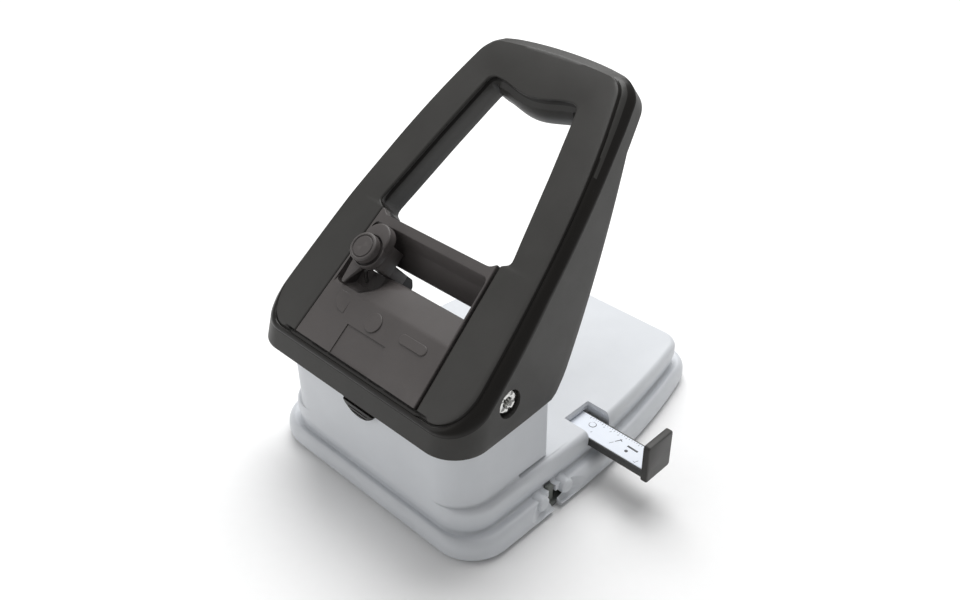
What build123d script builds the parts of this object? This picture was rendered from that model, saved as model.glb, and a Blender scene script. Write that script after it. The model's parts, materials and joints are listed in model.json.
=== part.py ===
from build123d import *
import math
import os

os.makedirs("parts", exist_ok=True)

# A desktop three-in-one card punch: corner rounder, round hole and slot.
# Millimetres. X is the width, +Y runs from the punch block to the card table, +Z is up.
# The origin is the middle of the flat underside.

# Base
RIM_HALF_WIDTH = 50.0
RIM_HALF_LENGTH = 64.5
RIM_BOTTOM = 0.8
RIM_TOP = 8.2
TAPER_START_Y = -14.5
RIM_SIDE_RADIUS = 265.0
TABLE_HALF_WIDTH = 45.4
TABLE_FRONT_Y = -62.0
TABLE_BACK_Y = 59.0
TABLE_TOP = 18.0
TABLE_SIDE_RADIUS = 300.0
BLOCK_HALF_WIDTH = 42.6
BLOCK_BACK_Y = -22.0
BLOCK_TOP = 47.5
BLOCK_BACK_CORNER = 2.5
RIM_FRONT_CORNER = 14.5
RIM_BACK_CORNER = 12.5
TABLE_FRONT_CORNER = 13.0
TABLE_BACK_CORNER = 8.0
WALL = 2.4

# Finger scoop in the base's side, over the tray's catch
SCOOP_Y = -25.0
SCOOP_RADIUS = 29.7
SCOOP_DEPTH = 3.0
BULGE_Y = (-31.0, -19.5)
BULGE_Z = 6.2
BULGE_RADIUS = 3.2
CATCH_SLOT_Y = (-27.0, -23.4)

# Card throat
THROAT_BACK_Y = -36.5
THROAT_HEIGHT = 1.6

# Handle: a plane that rises from the crease at the front edge
HANDLE_TILT = 39.1
CREASE_Y = -65.5
CREASE_Z = 52.9
SKIRT_BOTTOM = 44.8
SKIRT_FRONT_Y = -68.1
HANDLE_LENGTH = 120.0
HANDLE_DEPTH = 11.0
HANDLE_SKIN = 3.0
SKIRT_WALL = 2.2
BEVEL = 2.6
CROSSBAR_FAR = 47.7
RECESS_NEAR = 21.5
RECESS_FAR = 44.5
RECESS_HALF_WIDTH = 24.8
RAMP_EDGE = (30.5, -3.0)
LEDGE_EDGE = (36.2, -10.8)
PANEL_UNDERSIDE = -12.6
LABEL_RECESS = ((-11.0, 6.5), (1.8, 12.0), (-0.3, 1.0))

# Panel screws: how far along the slope, how deep the frame's lug lies, and where its riser starts
LUG_X = 23.4
LUGS = ((8.0, -8.4, 28.2), (42.5, -15.0, 26.6))
LUG_THICKNESS = 2.0

# Pivot
AXLE_Y = -45.2
AXLE_Z = 55.3
AXLE_RADIUS = 3.0
BORE_RADIUS = 3.06
RIVET_HEAD_RADIUS = 3.6
RIVET_HEAD_HEIGHT = 1.2
RIVET_HOLLOW_RADIUS = 1.5
RIVET_RECESS_RADIUS = 4.5
EAR_INNER_X = 37.5
EAR_OUTER_X = 39.5
BOSS_INNER_X = 40.6
BOSS_RADIUS = 7.0
BOSS_ROOM_RADIUS = 7.4
EAR_RADIUS = 5.8
RECESS_FLOOR_X = 44.7

# Punches
PUNCH_Y = -30.5
CORNER_X = -17.0
HOLE_X = 0.0
SLOT_X = 16.5
HOLE_RADIUS = 3.0
SLOT_LENGTH = 14.0
SLOT_WIDTH = 3.0
CORNER_SIZE = 9.0
CORNER_RADIUS = 6.0
PUNCH_CLEARANCE = 0.08
BLADE_BOTTOM = 19.8
BLADE_TOP = 37.6
HEAD_BOTTOM = 54.7
HEAD_TOP = 57.5
HEAD_RADIUS = 4.4
STEM_RADIUS = 2.3

# Punch frame, stacked from the bottom up
DIE_BOTTOM = 14.0
GUIDE_TOP = 30.0
BRACKET_TOP = 40.0
SHEET = 2.0
FRAME_HALF_WIDTH = 35.0
FRAME_FRONT_Y = -48.0
FRAME_BACK_Y = -24.8
CLAMP_SCREW_Y = -42.0
CLAMP_SCREW_X = (-25.0, -8.5, 8.5, 25.0)
SIDE_SCREW_X = 32.0
SIDE_SCREW_Y = (-44.0, -27.0)

# Selector, in the handle's own axes
BUTTON_ALONG = 34.4
BUTTON_RADIUS = 4.9
LOBE_ALONG = 39.0
CARRIAGE_RADIUS = 5.2

# Side guide
BAR_HALF_WIDTH = 5.0
BAR_BOTTOM = 12.0
BAR_TOP = 15.0
BAR_INNER_X = -18.0
STOP_INNER_X = 69.0
STOP_THICKNESS = 2.2
STOP_Y = (-6.4, 5.2)
STOP_TOP = 27.6
TONGUE_HALF_WIDTH = 3.0
TONGUE_LENGTH = 1.2
CHANNEL_X = 35.3
LABEL_THICKNESS = 0.25

HANDLE = Plane(
    origin=(0, CREASE_Y, CREASE_Z),
    x_dir=(1, 0, 0),
    z_dir=(0, -math.sin(math.radians(HANDLE_TILT)), math.cos(math.radians(HANDLE_TILT))),
)


def save(shape, name):
    """Write one node, as a single part, to its STEP file."""
    solids = shape.solids()
    export_step(solids[0] if len(solids) == 1 else Compound(children=list(solids)), f"parts/{name}.step")


def box(x, y, z):
    """A box from three (low, high) pairs."""
    size = (x[1] - x[0], y[1] - y[0], z[1] - z[0])
    middle = ((x[0] + x[1]) / 2, (y[0] + y[1]) / 2, (z[0] + z[1]) / 2)
    return Pos(*middle) * Box(*size)


def rod(x, y, z, radius):
    """A cylinder along the one axis that is given as a (low, high) pair."""
    if isinstance(z, tuple):
        return Pos(x, y, sum(z) / 2) * Cylinder(radius, z[1] - z[0])
    if isinstance(y, tuple):
        return Pos(x, sum(y) / 2, z) * Rot(90, 0, 0) * Cylinder(radius, y[1] - y[0])
    return Pos(sum(x) / 2, y, z) * Rot(0, 90, 0) * Cylinder(radius, x[1] - x[0])


def side_prism(points, x_low, x_high):
    """Extrude a closed (y, z) outline along X."""
    face = make_face(Polyline(*[(0, y, z) for y, z in points], close=True))
    return Pos(x_low, 0, 0) * extrude(face, amount=x_high - x_low, dir=(1, 0, 0))


def in_handle(shape):
    """Move a shape from the handle's own axes (x, along the slope, out of it) to the part's."""
    return HANDLE.location * shape


def handle_point(along, out):
    """The (y, z) of a point on the handle's middle line."""
    tilt = math.radians(HANDLE_TILT)
    y = CREASE_Y + along * math.cos(tilt) - out * math.sin(tilt)
    z = CREASE_Z + along * math.sin(tilt) + out * math.cos(tilt)
    return (y, z)


def tapered_outline(half_width, front, back, side_radius, front_corner, back_corner):
    """Plan of the base: straight sides that curve inwards behind the taper's start."""
    run = back - TAPER_START_Y
    turn = math.asin(run / side_radius)
    half = turn / 2
    mid_x = half_width - side_radius * (1 - math.cos(half))
    mid_y = TAPER_START_Y + side_radius * math.sin(half)
    end_x = half_width - side_radius * (1 - math.cos(turn))
    right = ThreePointArc((half_width, TAPER_START_Y), (mid_x, mid_y), (end_x, back))
    left = ThreePointArc((-end_x, back), (-mid_x, mid_y), (-half_width, TAPER_START_Y))
    edges = [
        Line((half_width, front), (half_width, TAPER_START_Y)),
        right,
        Line((end_x, back), (-end_x, back)),
        left,
        Line((-half_width, TAPER_START_Y), (-half_width, front)),
        Line((-half_width, front), (half_width, front)),
    ]
    face = make_face(edges)
    front_points = [v for v in face.vertices() if abs(v.Y - front) < 0.01]
    face = fillet(front_points, front_corner)
    back_points = [v for v in face.vertices() if abs(v.Y - back) < 0.01 and abs(abs(v.X) - end_x) < 0.01]
    return fillet(back_points, back_corner)


def block_outline(inset):
    """Plan of the punch block."""
    half = BLOCK_HALF_WIDTH - inset
    front = TABLE_FRONT_Y + inset
    back = BLOCK_BACK_Y - inset
    face = Pos(0, (front + back) / 2) * Rectangle(2 * half, back - front)
    front_points = [v for v in face.vertices() if v.Y < -50]
    face = fillet(front_points, TABLE_FRONT_CORNER - inset)
    back_points = [v for v in face.vertices() if abs(v.Y - back) < 0.01]
    return fillet(back_points, max(BLOCK_BACK_CORNER - inset, 0.4))


def prism(face, low, high):
    return Pos(0, 0, low) * extrude(face, amount=high - low, dir=(0, 0, 1))


def soften(solid, edges, radius):
    """Round the edges, or leave them sharp where the kernel can't."""
    try:
        rounded = fillet(edges, radius)
        return rounded if rounded.is_valid else solid
    except Exception:
        return solid


def rim_outline(inset):
    return tapered_outline(
        RIM_HALF_WIDTH - inset, inset - RIM_HALF_LENGTH, RIM_HALF_LENGTH - inset,
        RIM_SIDE_RADIUS - inset, RIM_FRONT_CORNER - inset, RIM_BACK_CORNER - inset)


def table_outline(inset):
    return tapered_outline(
        TABLE_HALF_WIDTH - inset, TABLE_FRONT_Y + inset, TABLE_BACK_Y - inset,
        TABLE_SIDE_RADIUS - inset, TABLE_FRONT_CORNER - inset, TABLE_BACK_CORNER - inset)


def base_housing():
    rim = prism(rim_outline(0), RIM_BOTTOM, RIM_TOP)
    rim = soften(rim, rim.edges().group_by(Axis.Z)[-1], 3.4)
    rim = soften(rim, rim.edges().group_by(Axis.Z)[0], 1.6)
    table = prism(table_outline(0), RIM_BOTTOM + 2, TABLE_TOP)
    table = soften(table, table.edges().group_by(Axis.Z)[-1], 2.2)
    block = prism(block_outline(0), TABLE_TOP - 5, BLOCK_TOP)
    block = soften(block, block.edges().group_by(Axis.Z)[-1], 1.2)
    shell = rim + table + block

    low_room = prism(rim_outline(WALL), -1, RIM_TOP - WALL)
    table_room = prism(table_outline(WALL), -1, TABLE_TOP - 2.2)
    block_room = prism(block_outline(WALL), 10, BLOCK_TOP - WALL)
    shell = shell - low_room - table_room - block_room

    # The card throat, level with the table, and the windows that the punch frame needs
    shell -= box((-60, 60), (THROAT_BACK_Y, BLOCK_BACK_Y + 1), (TABLE_TOP, TABLE_TOP + THROAT_HEIGHT))
    shell -= box((-FRAME_HALF_WIDTH - 0.3, FRAME_HALF_WIDTH + 0.3), (FRAME_FRONT_Y - 0.3, FRAME_BACK_Y + 0.3),
                 (12, TABLE_TOP + 0.01))
    shell -= box((-27, 27), (-37, -25.2), (40, 50))
    for side in (-1, 1):
        ear = sorted((side * (EAR_INNER_X - 0.4), side * (EAR_OUTER_X + 0.4)))
        shell -= box(ear, (-52.4, -38), (40, 50))

    # Ledges inside the block that carry the punch frame
    for side in (-1, 1):
        ledge = sorted((side * 28.5, side * (BLOCK_HALF_WIDTH + 0.9)))
        shell += box(ledge, (FRAME_FRONT_Y, FRAME_BACK_Y), (10, DIE_BOTTOM))
        for y in SIDE_SCREW_Y:
            shell -= rod(side * SIDE_SCREW_X, y, (8, 16), 1.7)

    # The side guide's tunnel under the table, open on top near the side
    shell += box((-42, 44.5), (-7.2, 8.2), (9.6, TABLE_TOP - 1.5))
    shell -= box((-40, 60), (-BAR_HALF_WIDTH - 0.3, BAR_HALF_WIDTH + 0.3), (BAR_BOTTOM - 0.3, BAR_TOP + 0.8))
    channel_y = (-BAR_HALF_WIDTH - 0.3, BAR_HALF_WIDTH + 1.3)
    shell -= box((CHANNEL_X, 60), channel_y, (BAR_BOTTOM - 0.3, TABLE_TOP + 1))

    # Slot for the lock slide, and the finger scoop over the tray's catch
    shell -= box((-3.2, 3.2), (-70, -59), (34.8, 42.6))
    shell -= box((-7.7, 7.7), (-70, TABLE_FRONT_Y + 0.6), (37.0, 50))
    shell -= rod(RIM_HALF_WIDTH - SCOOP_DEPTH + SCOOP_RADIUS, SCOOP_Y, (2.2, 11.5), SCOOP_RADIUS)
    for y in BULGE_Y:
        shell += rod((44.0, 49.2), y, BULGE_Z, BULGE_RADIUS)
    shell -= box((43, 52), CATCH_SLOT_Y, (-1, 9.4))
    return shell


def chip_tray():
    """Soft cover that closes the underside and catches the chips."""
    plate = prism(rim_outline(WALL + 0.3), 0, 2.2)
    outer = box((-27, 27), (-55, -12), (2.0, 7.0))
    inner = box((-25.4, 25.4), (-53.4, -13.6), (2.2, 8.0))
    catch = box((44.6, 46.4), (-26.6, -23.8), (2.0, 8.6))
    return plate + outer - inner + catch


def corner_profile(grow):
    """Cutter that leaves a rounded card corner: a square less a quarter disc."""
    half = CORNER_SIZE / 2 + grow
    corner = CORNER_SIZE / 2
    return Rectangle(2 * half, 2 * half) - Pos(corner, corner) * Circle(CORNER_RADIUS - grow)


def cutter_profiles(grow):
    return (
        Pos(CORNER_X, PUNCH_Y) * corner_profile(grow),
        Pos(HOLE_X, PUNCH_Y) * Circle(HOLE_RADIUS + grow),
        Pos(SLOT_X, PUNCH_Y) * SlotOverall(SLOT_LENGTH + 2 * grow, SLOT_WIDTH + 2 * grow),
    )


def punch(index, x):
    blade = prism(cutter_profiles(0)[index], BLADE_BOTTOM, BLADE_TOP)
    stem = rod(x, PUNCH_Y, (BLADE_TOP - 1, HEAD_BOTTOM), STEM_RADIUS)
    head = rod(x, PUNCH_Y, (HEAD_BOTTOM, HEAD_TOP), HEAD_RADIUS)
    head = soften(head, head.edges().group_by(Axis.Z)[-1], 0.6)
    return blade + stem + head


def coil(radius, wire, turns, height):
    """A round-wire compression spring that stands on z = 0."""
    path = Helix(pitch=(height - wire) / turns, height=height - wire, radius=radius)
    section = Plane(origin=path @ 0, z_dir=path % 0) * Circle(wire / 2)
    return Pos(0, 0, wire / 2) * sweep(section, path=path)


def punch_spring(x):
    return Pos(x, PUNCH_Y, BRACKET_TOP + 0.1) * coil(3.3, 0.8, 6, HEAD_BOTTOM - BRACKET_TOP - 0.2)


def cut_outlines(solid, profiles, low, high):
    for profile in profiles:
        solid -= prism(profile, low, high)
    return solid


def screw_holes(solid, low, high, radius):
    for x in CLAMP_SCREW_X:
        solid -= rod(x, CLAMP_SCREW_Y, (low, high), radius)
    for side in (-1, 1):
        for y in SIDE_SCREW_Y:
            solid -= rod(side * SIDE_SCREW_X, y, (low, high), radius)
    return solid


def die_plate():
    half = FRAME_HALF_WIDTH
    plate = box((-half, half), (FRAME_FRONT_Y, FRAME_BACK_Y), (DIE_BOTTOM, TABLE_TOP))
    plate = cut_outlines(plate, cutter_profiles(PUNCH_CLEARANCE), 10, 25)
    return screw_holes(plate, 10, 25, 1.55)


def punch_guide():
    half = FRAME_HALF_WIDTH
    throat_top = TABLE_TOP + THROAT_HEIGHT
    block = box((-half, half), (FRAME_FRONT_Y, FRAME_BACK_Y), (throat_top, GUIDE_TOP))
    block += box((-half, half), (FRAME_FRONT_Y, THROAT_BACK_Y), (TABLE_TOP, throat_top + 1))
    block = cut_outlines(block, cutter_profiles(PUNCH_CLEARANCE), 10, 40)
    return screw_holes(block, 10, 40, 1.55)


def punch_bracket():
    """Steel channel that seats the springs and holds the pivot axle in its two ears."""
    bracket = box((-EAR_OUTER_X, EAR_OUTER_X), (-51, FRAME_BACK_Y), (BRACKET_TOP - SHEET, BRACKET_TOP))
    for x in (CORNER_X, HOLE_X, SLOT_X):
        bracket -= rod(x, PUNCH_Y, (GUIDE_TOP, BRACKET_TOP + 2), STEM_RADIUS + 0.3)
    for side in (-1, 1):
        wall = sorted((side * EAR_INNER_X, side * EAR_OUTER_X))
        foot = sorted((side * 28.5, side * EAR_OUTER_X))
        bracket += box(wall, (-51, FRAME_BACK_Y), (GUIDE_TOP, BRACKET_TOP))
        bracket += box(foot, (FRAME_FRONT_Y, FRAME_BACK_Y), (GUIDE_TOP, GUIDE_TOP + SHEET))
        bracket += box(wall, (-51, -39.4), (GUIDE_TOP, AXLE_Z))
        bracket += rod(tuple(wall), AXLE_Y, AXLE_Z, EAR_RADIUS)
        for y in SIDE_SCREW_Y:
            bracket -= rod(side * SIDE_SCREW_X, y, (GUIDE_TOP - 2, GUIDE_TOP + 4), 1.55)
    return bracket - rod((-45, 45), AXLE_Y, AXLE_Z, AXLE_RADIUS + 0.01)


def pan_screw(x, y, low, shaft_top, shaft_radius, head_radius):
    """A screw that is driven upwards: head below, shaft above."""
    head_height = 2.0
    head = rod(x, y, (low, low + head_height), head_radius)
    slot = box((x - head_radius, x + head_radius), (y - 0.35, y + 0.35), (low - 1, low + 0.8))
    return head - slot + rod(x, y, (low + head_height - 0.5, shaft_top), shaft_radius)


def clamp_screws():
    return Compound(children=[
        pan_screw(x, CLAMP_SCREW_Y, DIE_BOTTOM - 2.0, GUIDE_TOP, 1.5, 2.7) for x in CLAMP_SCREW_X])


def frame_screws():
    return Compound(children=[
        pan_screw(side * SIDE_SCREW_X, y, 8.0, GUIDE_TOP + SHEET + 0.6, 1.5, 2.7)
        for side in (-1, 1) for y in SIDE_SCREW_Y])


def pivot_axle():
    """Through axle with a rolled, hollow rivet head at each end."""
    head_x = RECESS_FLOOR_X + 0.1
    axle = rod((-head_x, head_x), AXLE_Y, AXLE_Z, AXLE_RADIUS)
    for side in (-1, 1):
        ends = tuple(sorted((side * head_x, side * (head_x + RIVET_HEAD_HEIGHT))))
        head = rod(ends, AXLE_Y, AXLE_Z, RIVET_HEAD_RADIUS)
        outer = tuple(sorted((side * (RECESS_FLOOR_X - 5), side * (RECESS_FLOOR_X + 3))))
        axle = axle + head - rod(outer, AXLE_Y, AXLE_Z, RIVET_HOLLOW_RADIUS)
    return axle


def axle_washers():
    rings = []
    for side in (-1, 1):
        ends = tuple(sorted((side * (EAR_OUTER_X + 0.1), side * (BOSS_INNER_X - 0.1))))
        rings.append(rod(ends, AXLE_Y, AXLE_Z, 5.6) - rod(ends, AXLE_Y, AXLE_Z, AXLE_RADIUS + 0.1))
    return Compound(children=rings)


def handle_spring():
    """Torsion spring round the axle: one leg on the block, the other under the panel."""
    wire = 1.2
    radius = 4.6
    start_x = -34.0
    length = 12.0
    wound = Pos(start_x - wire / 2, AXLE_Y, AXLE_Z) * Rot(0, 90, 0) * coil(radius, wire, 6, length + wire)
    low = AXLE_Z - radius
    front = AXLE_Y - 8
    back = AXLE_Y + 6.2
    end_x = start_x + length
    near = rod(start_x, (front, AXLE_Y), low, wire / 2)
    near += rod(start_x, front, (BLOCK_TOP + 0.1, low), wire / 2)
    far = rod(end_x, (AXLE_Y, back), low, wire / 2)
    far += rod(end_x, back, (low, 67.2), wire / 2)
    for x, y in ((start_x, front), (start_x, AXLE_Y), (end_x, AXLE_Y), (end_x, back)):
        near += Pos(x, y, low) * Sphere(wire / 2)
    return wound + near + far


def handle_outline(inset):
    """Plan of the handle in its own plane, with a slightly bowed grip end."""
    points = [(48.2, -20), (47.8, 0), (46.3, 25), (44.8, 40), (39.0, 80), (33.6, 104)]
    points.append((30.4, HANDLE_LENGTH - 2.5))
    right = [(x - inset, y) for x, y in points]
    end = right[-1]
    edges = [
        Spline(*right),
        ThreePointArc(end, (0, HANDLE_LENGTH - inset), (-end[0], end[1])),
        Spline(*[(-x, y) for x, y in reversed(right)]),
        Line((-right[0][0], right[0][1]), right[0]),
    ]
    face = make_face(edges)
    corners = [v for v in face.vertices() if v.Y > 100]
    return fillet(corners, 10.0 - inset)


def handle_footprint(inset):
    """Plan of the handle seen from above, which rounds the two front corners."""
    front = SKIRT_FRONT_Y + inset
    half = 47.9 - inset
    face = Pos(0, front + 75) * Rectangle(2 * half, 150)
    return fillet([v for v in face.vertices() if v.Y < 0], 12.5 - inset)


def handle_side():
    """Side view of the handle: front skirt, slope, grip end and the skirts' rear edge."""
    top_end = handle_point(HANDLE_LENGTH + 2, 0)
    low_end = handle_point(HANDLE_LENGTH + 2, -HANDLE_DEPTH)
    grip_start = handle_point(88, -HANDLE_DEPTH)
    points = [
        (SKIRT_FRONT_Y, SKIRT_BOTTOM), (CREASE_Y, CREASE_Z), top_end, low_end, grip_start,
        (-24.5, 50.0), (-28.5, SKIRT_BOTTOM),
    ]
    face = make_face(Polyline(*[(0, y, z) for y, z in points], close=True))
    knee = [v for v in face.vertices() if abs(v.Y - grip_start[0]) < 0.01]
    face = fillet(knee, 22.0)
    heel = [v for v in face.vertices() if -29 < v.Y < -24 and v.Z < 51]
    face = fillet(heel, 3.0)
    return Pos(-60, 0, 0) * extrude(face, amount=120, dir=(1, 0, 0))


def loop_outline(grow):
    """The frame's opening: the panel's bay, a step at the crossbar, then the hand loop."""
    bay = [(28.2 + grow, 0.9 - grow), (25.8 + grow, CROSSBAR_FAR - 1.0)]
    loop = [(28.7 + grow, 50.5), (26.9 + grow, 60), (23.1 + grow, 80), (18.6 + grow, 101 + grow)]
    right = bay + loop
    left = [(-x, y) for x, y in reversed(right)]
    edges = [
        Polyline(*right),
        ThreePointArc(right[-1], (0, 97.4 + grow), left[0]),
        Polyline(*left),
        Line(left[-1], right[0]),
    ]
    face = make_face(edges)
    corners = [v for v in face.vertices() if v.Y > 90]
    return fillet(corners, 3.0)


def handle_cavity():
    """Space under the handle's skin, inside its skirts."""
    below = prism(handle_outline(SKIRT_WALL), -70, -HANDLE_SKIN)
    space = in_handle(below) & prism(handle_footprint(SKIRT_WALL), 0, 140)
    front = [(SKIRT_FRONT_Y + SKIRT_WALL + 0.3, 40), (CREASE_Y + SKIRT_WALL + 0.6, CREASE_Z + 1)]
    front += [(60, 160), (60, 40)]
    return space & side_prism(front, -60, 60)


def handle_frame():
    outer = handle_side() & in_handle(prism(handle_outline(0), -80, 10)) & prism(handle_footprint(0), 0, 140)
    top = [e for e in outer.edges() if all(abs(out_of_plane(p)) < 0.05 for p in (e @ 0, e @ 0.5, e @ 1))]
    bevelled = bevel_edges(outer, top)
    cavity = handle_cavity()
    inner_wall = in_handle(prism(loop_outline(2.3), -HANDLE_DEPTH, 0))
    inner_wall &= box((-60, 60), (-80, 60), (BLOCK_TOP + 1.5, 160))
    inner_wall -= rod((-60, 60), AXLE_Y, AXLE_Z, BOSS_ROOM_RADIUS)
    ribs = [in_handle(box((-60, 60), (u, u + 1.6), (-9, -1))) for u in (62, 80)]
    ribs += [in_handle(box((x, x + 1.6), (95, 130), (-9, -1))) for x in (-13.6, -0.8, 12)]
    frame = bevelled - cavity + (inner_wall & bevelled)
    for rib in ribs:
        frame += rib & bevelled
    frame -= in_handle(prism(loop_outline(0), -20, 5))
    for side in (-1, 1):
        boss_ends = tuple(sorted((side * BOSS_INNER_X, side * (RECESS_FLOOR_X + 0.2))))
        recess = tuple(sorted((side * RECESS_FLOOR_X, side * 52)))
        frame += rod(boss_ends, AXLE_Y, AXLE_Z, BOSS_RADIUS)
        frame -= rod(recess, AXLE_Y, AXLE_Z, RIVET_RECESS_RADIUS)
        for along, low, riser_x in LUGS:
            lug = tuple(sorted((side * 21.0, side * (riser_x + 2))))
            riser = tuple(sorted((side * riser_x, side * (riser_x + 2))))
            frame += in_handle(box(lug, (along - 3, along + 3), (low, low + LUG_THICKNESS)))
            frame += in_handle(box(riser, (along - 3, along + 3), (low, -2)))
            frame -= in_handle(rod(side * LUG_X, along, (low - 1, low + 3), 1.3))
    frame -= rod((-60, 60), AXLE_Y, AXLE_Z, BORE_RADIUS)
    return frame


def out_of_plane(point):
    """How far a point stands out of the handle's top plane."""
    return HANDLE.to_local_coords(point).Z


def bevel_edges(solid, edges):
    try:
        cut = chamfer(edges, length=BEVEL)
        return cut if cut.is_valid else solid
    except Exception:
        return solid


def panel_outline():
    near, far = 28.0, 25.6
    corners = [(near, 1.3), (far, CROSSBAR_FAR), (-far, CROSSBAR_FAR), (-near, 1.3)]
    return make_face(Polyline(*corners, close=True))


def handle_panel():
    """Inner panel with the selector's recess, its through slot and the crossbar."""
    plate = prism(panel_outline(), -HANDLE_SKIN + 0.2, 0)
    window = box((-RECESS_HALF_WIDTH, RECESS_HALF_WIDTH), (RECESS_NEAR, RECESS_FAR), (-20, 5))
    plate -= window
    half = RECESS_HALF_WIDTH
    ramp_foot = (RAMP_EDGE[0], RAMP_EDGE[1] - 2.4)
    ramp = [(RECESS_NEAR - 2, 0), (RECESS_NEAR, 0), RAMP_EDGE, ramp_foot, (RECESS_NEAR - 2, -2.8)]
    ledge_foot = (LEDGE_EDGE[0], PANEL_UNDERSIDE)
    bar = [(CROSSBAR_FAR, 0), (RECESS_FAR, 0), (42.0, -5.0), LEDGE_EDGE, ledge_foot]
    bar += [(43.5, PANEL_UNDERSIDE), (CROSSBAR_FAR, -9.0)]
    plate += side_prism(ramp, -half, half)
    plate += side_prism(bar, -half, half)
    for side in (-1, 1):
        cheek = tuple(sorted((side * half, side * (half + 0.8))))
        plate += box(cheek, (RECESS_NEAR - 2, CROSSBAR_FAR), (-8.0, 0))
        for along, low, _ in LUGS:
            post = tuple(sorted((side * 21.4, side * 25.4)))
            plate += box(post, (along - 2, along + 2), (low + LUG_THICKNESS + 0.1, -1.0))
            plate -= rod(side * LUG_X, along, (-20, low + LUG_THICKNESS + 4.5), 1.0)
    return in_handle(plate - box(*LABEL_RECESS)) - rod((-60, 60), AXLE_Y, AXLE_Z, BOSS_RADIUS)


def panel_screws():
    screws = []
    for side in (-1, 1):
        for along, low, _ in LUGS:
            screw = pan_screw(side * LUG_X, along, low - 2.0, low + LUG_THICKNESS + 4.0, 0.95, 2.0)
            screws.append(in_handle(screw))
    return Compound(children=screws)


def stadium(x, near, far, radius, low, high):
    """A round-ended block that runs along the handle's slope."""
    middle = (near + far) / 2
    face = Pos(x, middle) * Rot(0, 0, 90) * SlotOverall(far - near + 2 * radius, 2 * radius)
    return prism(face, low, high)


def selector_carriage():
    """Slider with a raised far lobe, a lower seat for the button and a pointer."""
    x = CORNER_X
    body = stadium(x, BUTTON_ALONG, LOBE_ALONG, CARRIAGE_RADIUS, 0.4, 2.6)
    lobe = stadium(x, LOBE_ALONG, LOBE_ALONG + 0.1, CARRIAGE_RADIUS, 0.4, 4.2)
    lobe -= Pos(x, BUTTON_ALONG, 4) * Cylinder(CARRIAGE_RADIUS + 0.1, 6)
    neck = box((x - 4.8, x + 4.8), (31.4, 39.6), (-6.0, 0.6))
    stem = box((x - 4.6, x + 4.6), (31.4, 35.2), (-13.5, -5.5))
    pointer = [(x - 5.2, 32.0), (x - 4.2, 23.8), (x - 2.8, 23.8), (x + 2.0, 31.7), (x + 2.0, 34.0)]
    arrow = prism(make_face(Polyline(*pointer, close=True)), 0.4, 2.2)
    body = body + lobe + neck + stem + arrow
    body -= rod(x, BUTTON_ALONG, (-1.2, 8), 2.8)
    return in_handle(body)


def selector_button():
    head = rod(CORNER_X, BUTTON_ALONG, (4.4, 7.2), BUTTON_RADIUS)
    head = soften(head, head.edges().group_by(Axis.Z)[-1], 0.8)
    groove = rod(CORNER_X, BUTTON_ALONG, (6.9, 8), 3.9) - rod(CORNER_X, BUTTON_ALONG, (6.9, 8), 3.4)
    return in_handle(head - groove + rod(CORNER_X, BUTTON_ALONG, (1.6, 4.6), 2.5))


def button_spring():
    return in_handle(Pos(CORNER_X, BUTTON_ALONG, -1.15) * coil(1.9, 0.4, 3, 2.65))


def presser_foot():
    """Steel foot under the carriage that bears on the chosen punch."""
    near = handle_point(31.4, -13.5)
    far = handle_point(35.2, -13.5)
    bottom = HEAD_TOP + 0.3
    radius = 2.6
    left = PUNCH_Y - radius
    right = PUNCH_Y + radius
    edges = [
        Line((0, *near), (0, *far)),
        Line((0, *far), (0, right, far[1] - 2.2)),
        Line((0, right, far[1] - 2.2), (0, right, bottom + radius)),
        ThreePointArc((0, right, bottom + radius), (0, PUNCH_Y, bottom), (0, left, bottom + radius)),
        Line((0, left, bottom + radius), (0, *near)),
    ]
    face = make_face(edges)
    return Pos(CORNER_X - 4.5, 0, 0) * extrude(face, amount=9.0, dir=(1, 0, 0))


def guide_bar():
    bar = box((BAR_INNER_X, STOP_INNER_X), (-BAR_HALF_WIDTH, BAR_HALF_WIDTH), (BAR_BOTTOM, BAR_TOP))
    bed = box((4.0, STOP_INNER_X - 0.6), (-4.6, 4.6), (BAR_TOP - LABEL_THICKNESS, BAR_TOP + 1))
    half = TONGUE_HALF_WIDTH
    tongue_x = (STOP_INNER_X - 0.5, STOP_INNER_X + TONGUE_LENGTH)
    tongue = box(tongue_x, (-half, half), (BAR_BOTTOM + 0.6, BAR_TOP - 0.6))
    return bar - bed + tongue


def guide_label():
    return box((4.1, STOP_INNER_X - 0.7), (-4.5, 4.5), (BAR_TOP - LABEL_THICKNESS, BAR_TOP + 0.05))


def guide_end_stop():
    stop = box((STOP_INNER_X, STOP_INNER_X + STOP_THICKNESS), STOP_Y, (BAR_BOTTOM, STOP_TOP))
    stop = soften(stop, stop.edges().filter_by(Axis.X), 0.8)
    half = TONGUE_HALF_WIDTH + 0.05
    slot_end = STOP_INNER_X + TONGUE_LENGTH + 0.05
    return stop - box((STOP_INNER_X - 1, slot_end), (-half, half), (BAR_BOTTOM + 0.55, BAR_TOP - 0.55))


def guide_friction_spring():
    """Bowed leaf under the bar, which holds the guide where it is set."""
    leaf = box((10, 30), (-2.5, 2.5), (10.6, 11.1))
    pad = box((17, 23), (-2.5, 2.5), (11.0, BAR_BOTTOM - 0.1))
    return leaf + pad


def friction_spring_pocket():
    return box((9.7, 30.3), (-2.8, 2.8), (10.3, BAR_BOTTOM))


def lock_slide():
    """Half-moon thumb tab on the block's front, with a shank and an inner plate."""
    disc = Pos(0, -63.1, 43.2) * Rot(90, 0, 0) * Cylinder(9.2, 1.8)
    tab = disc & box((-7.4, 7.4), (-66, -60), (34.0, 43.0))
    shank = box((-2.8, 2.8), (-62.6, -58.2), (35.2, 39.0))
    plate = box((-5.5, 5.5), (-59.3, -57.8), (33.6, 39.6))
    return tab + shank + plate


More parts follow.
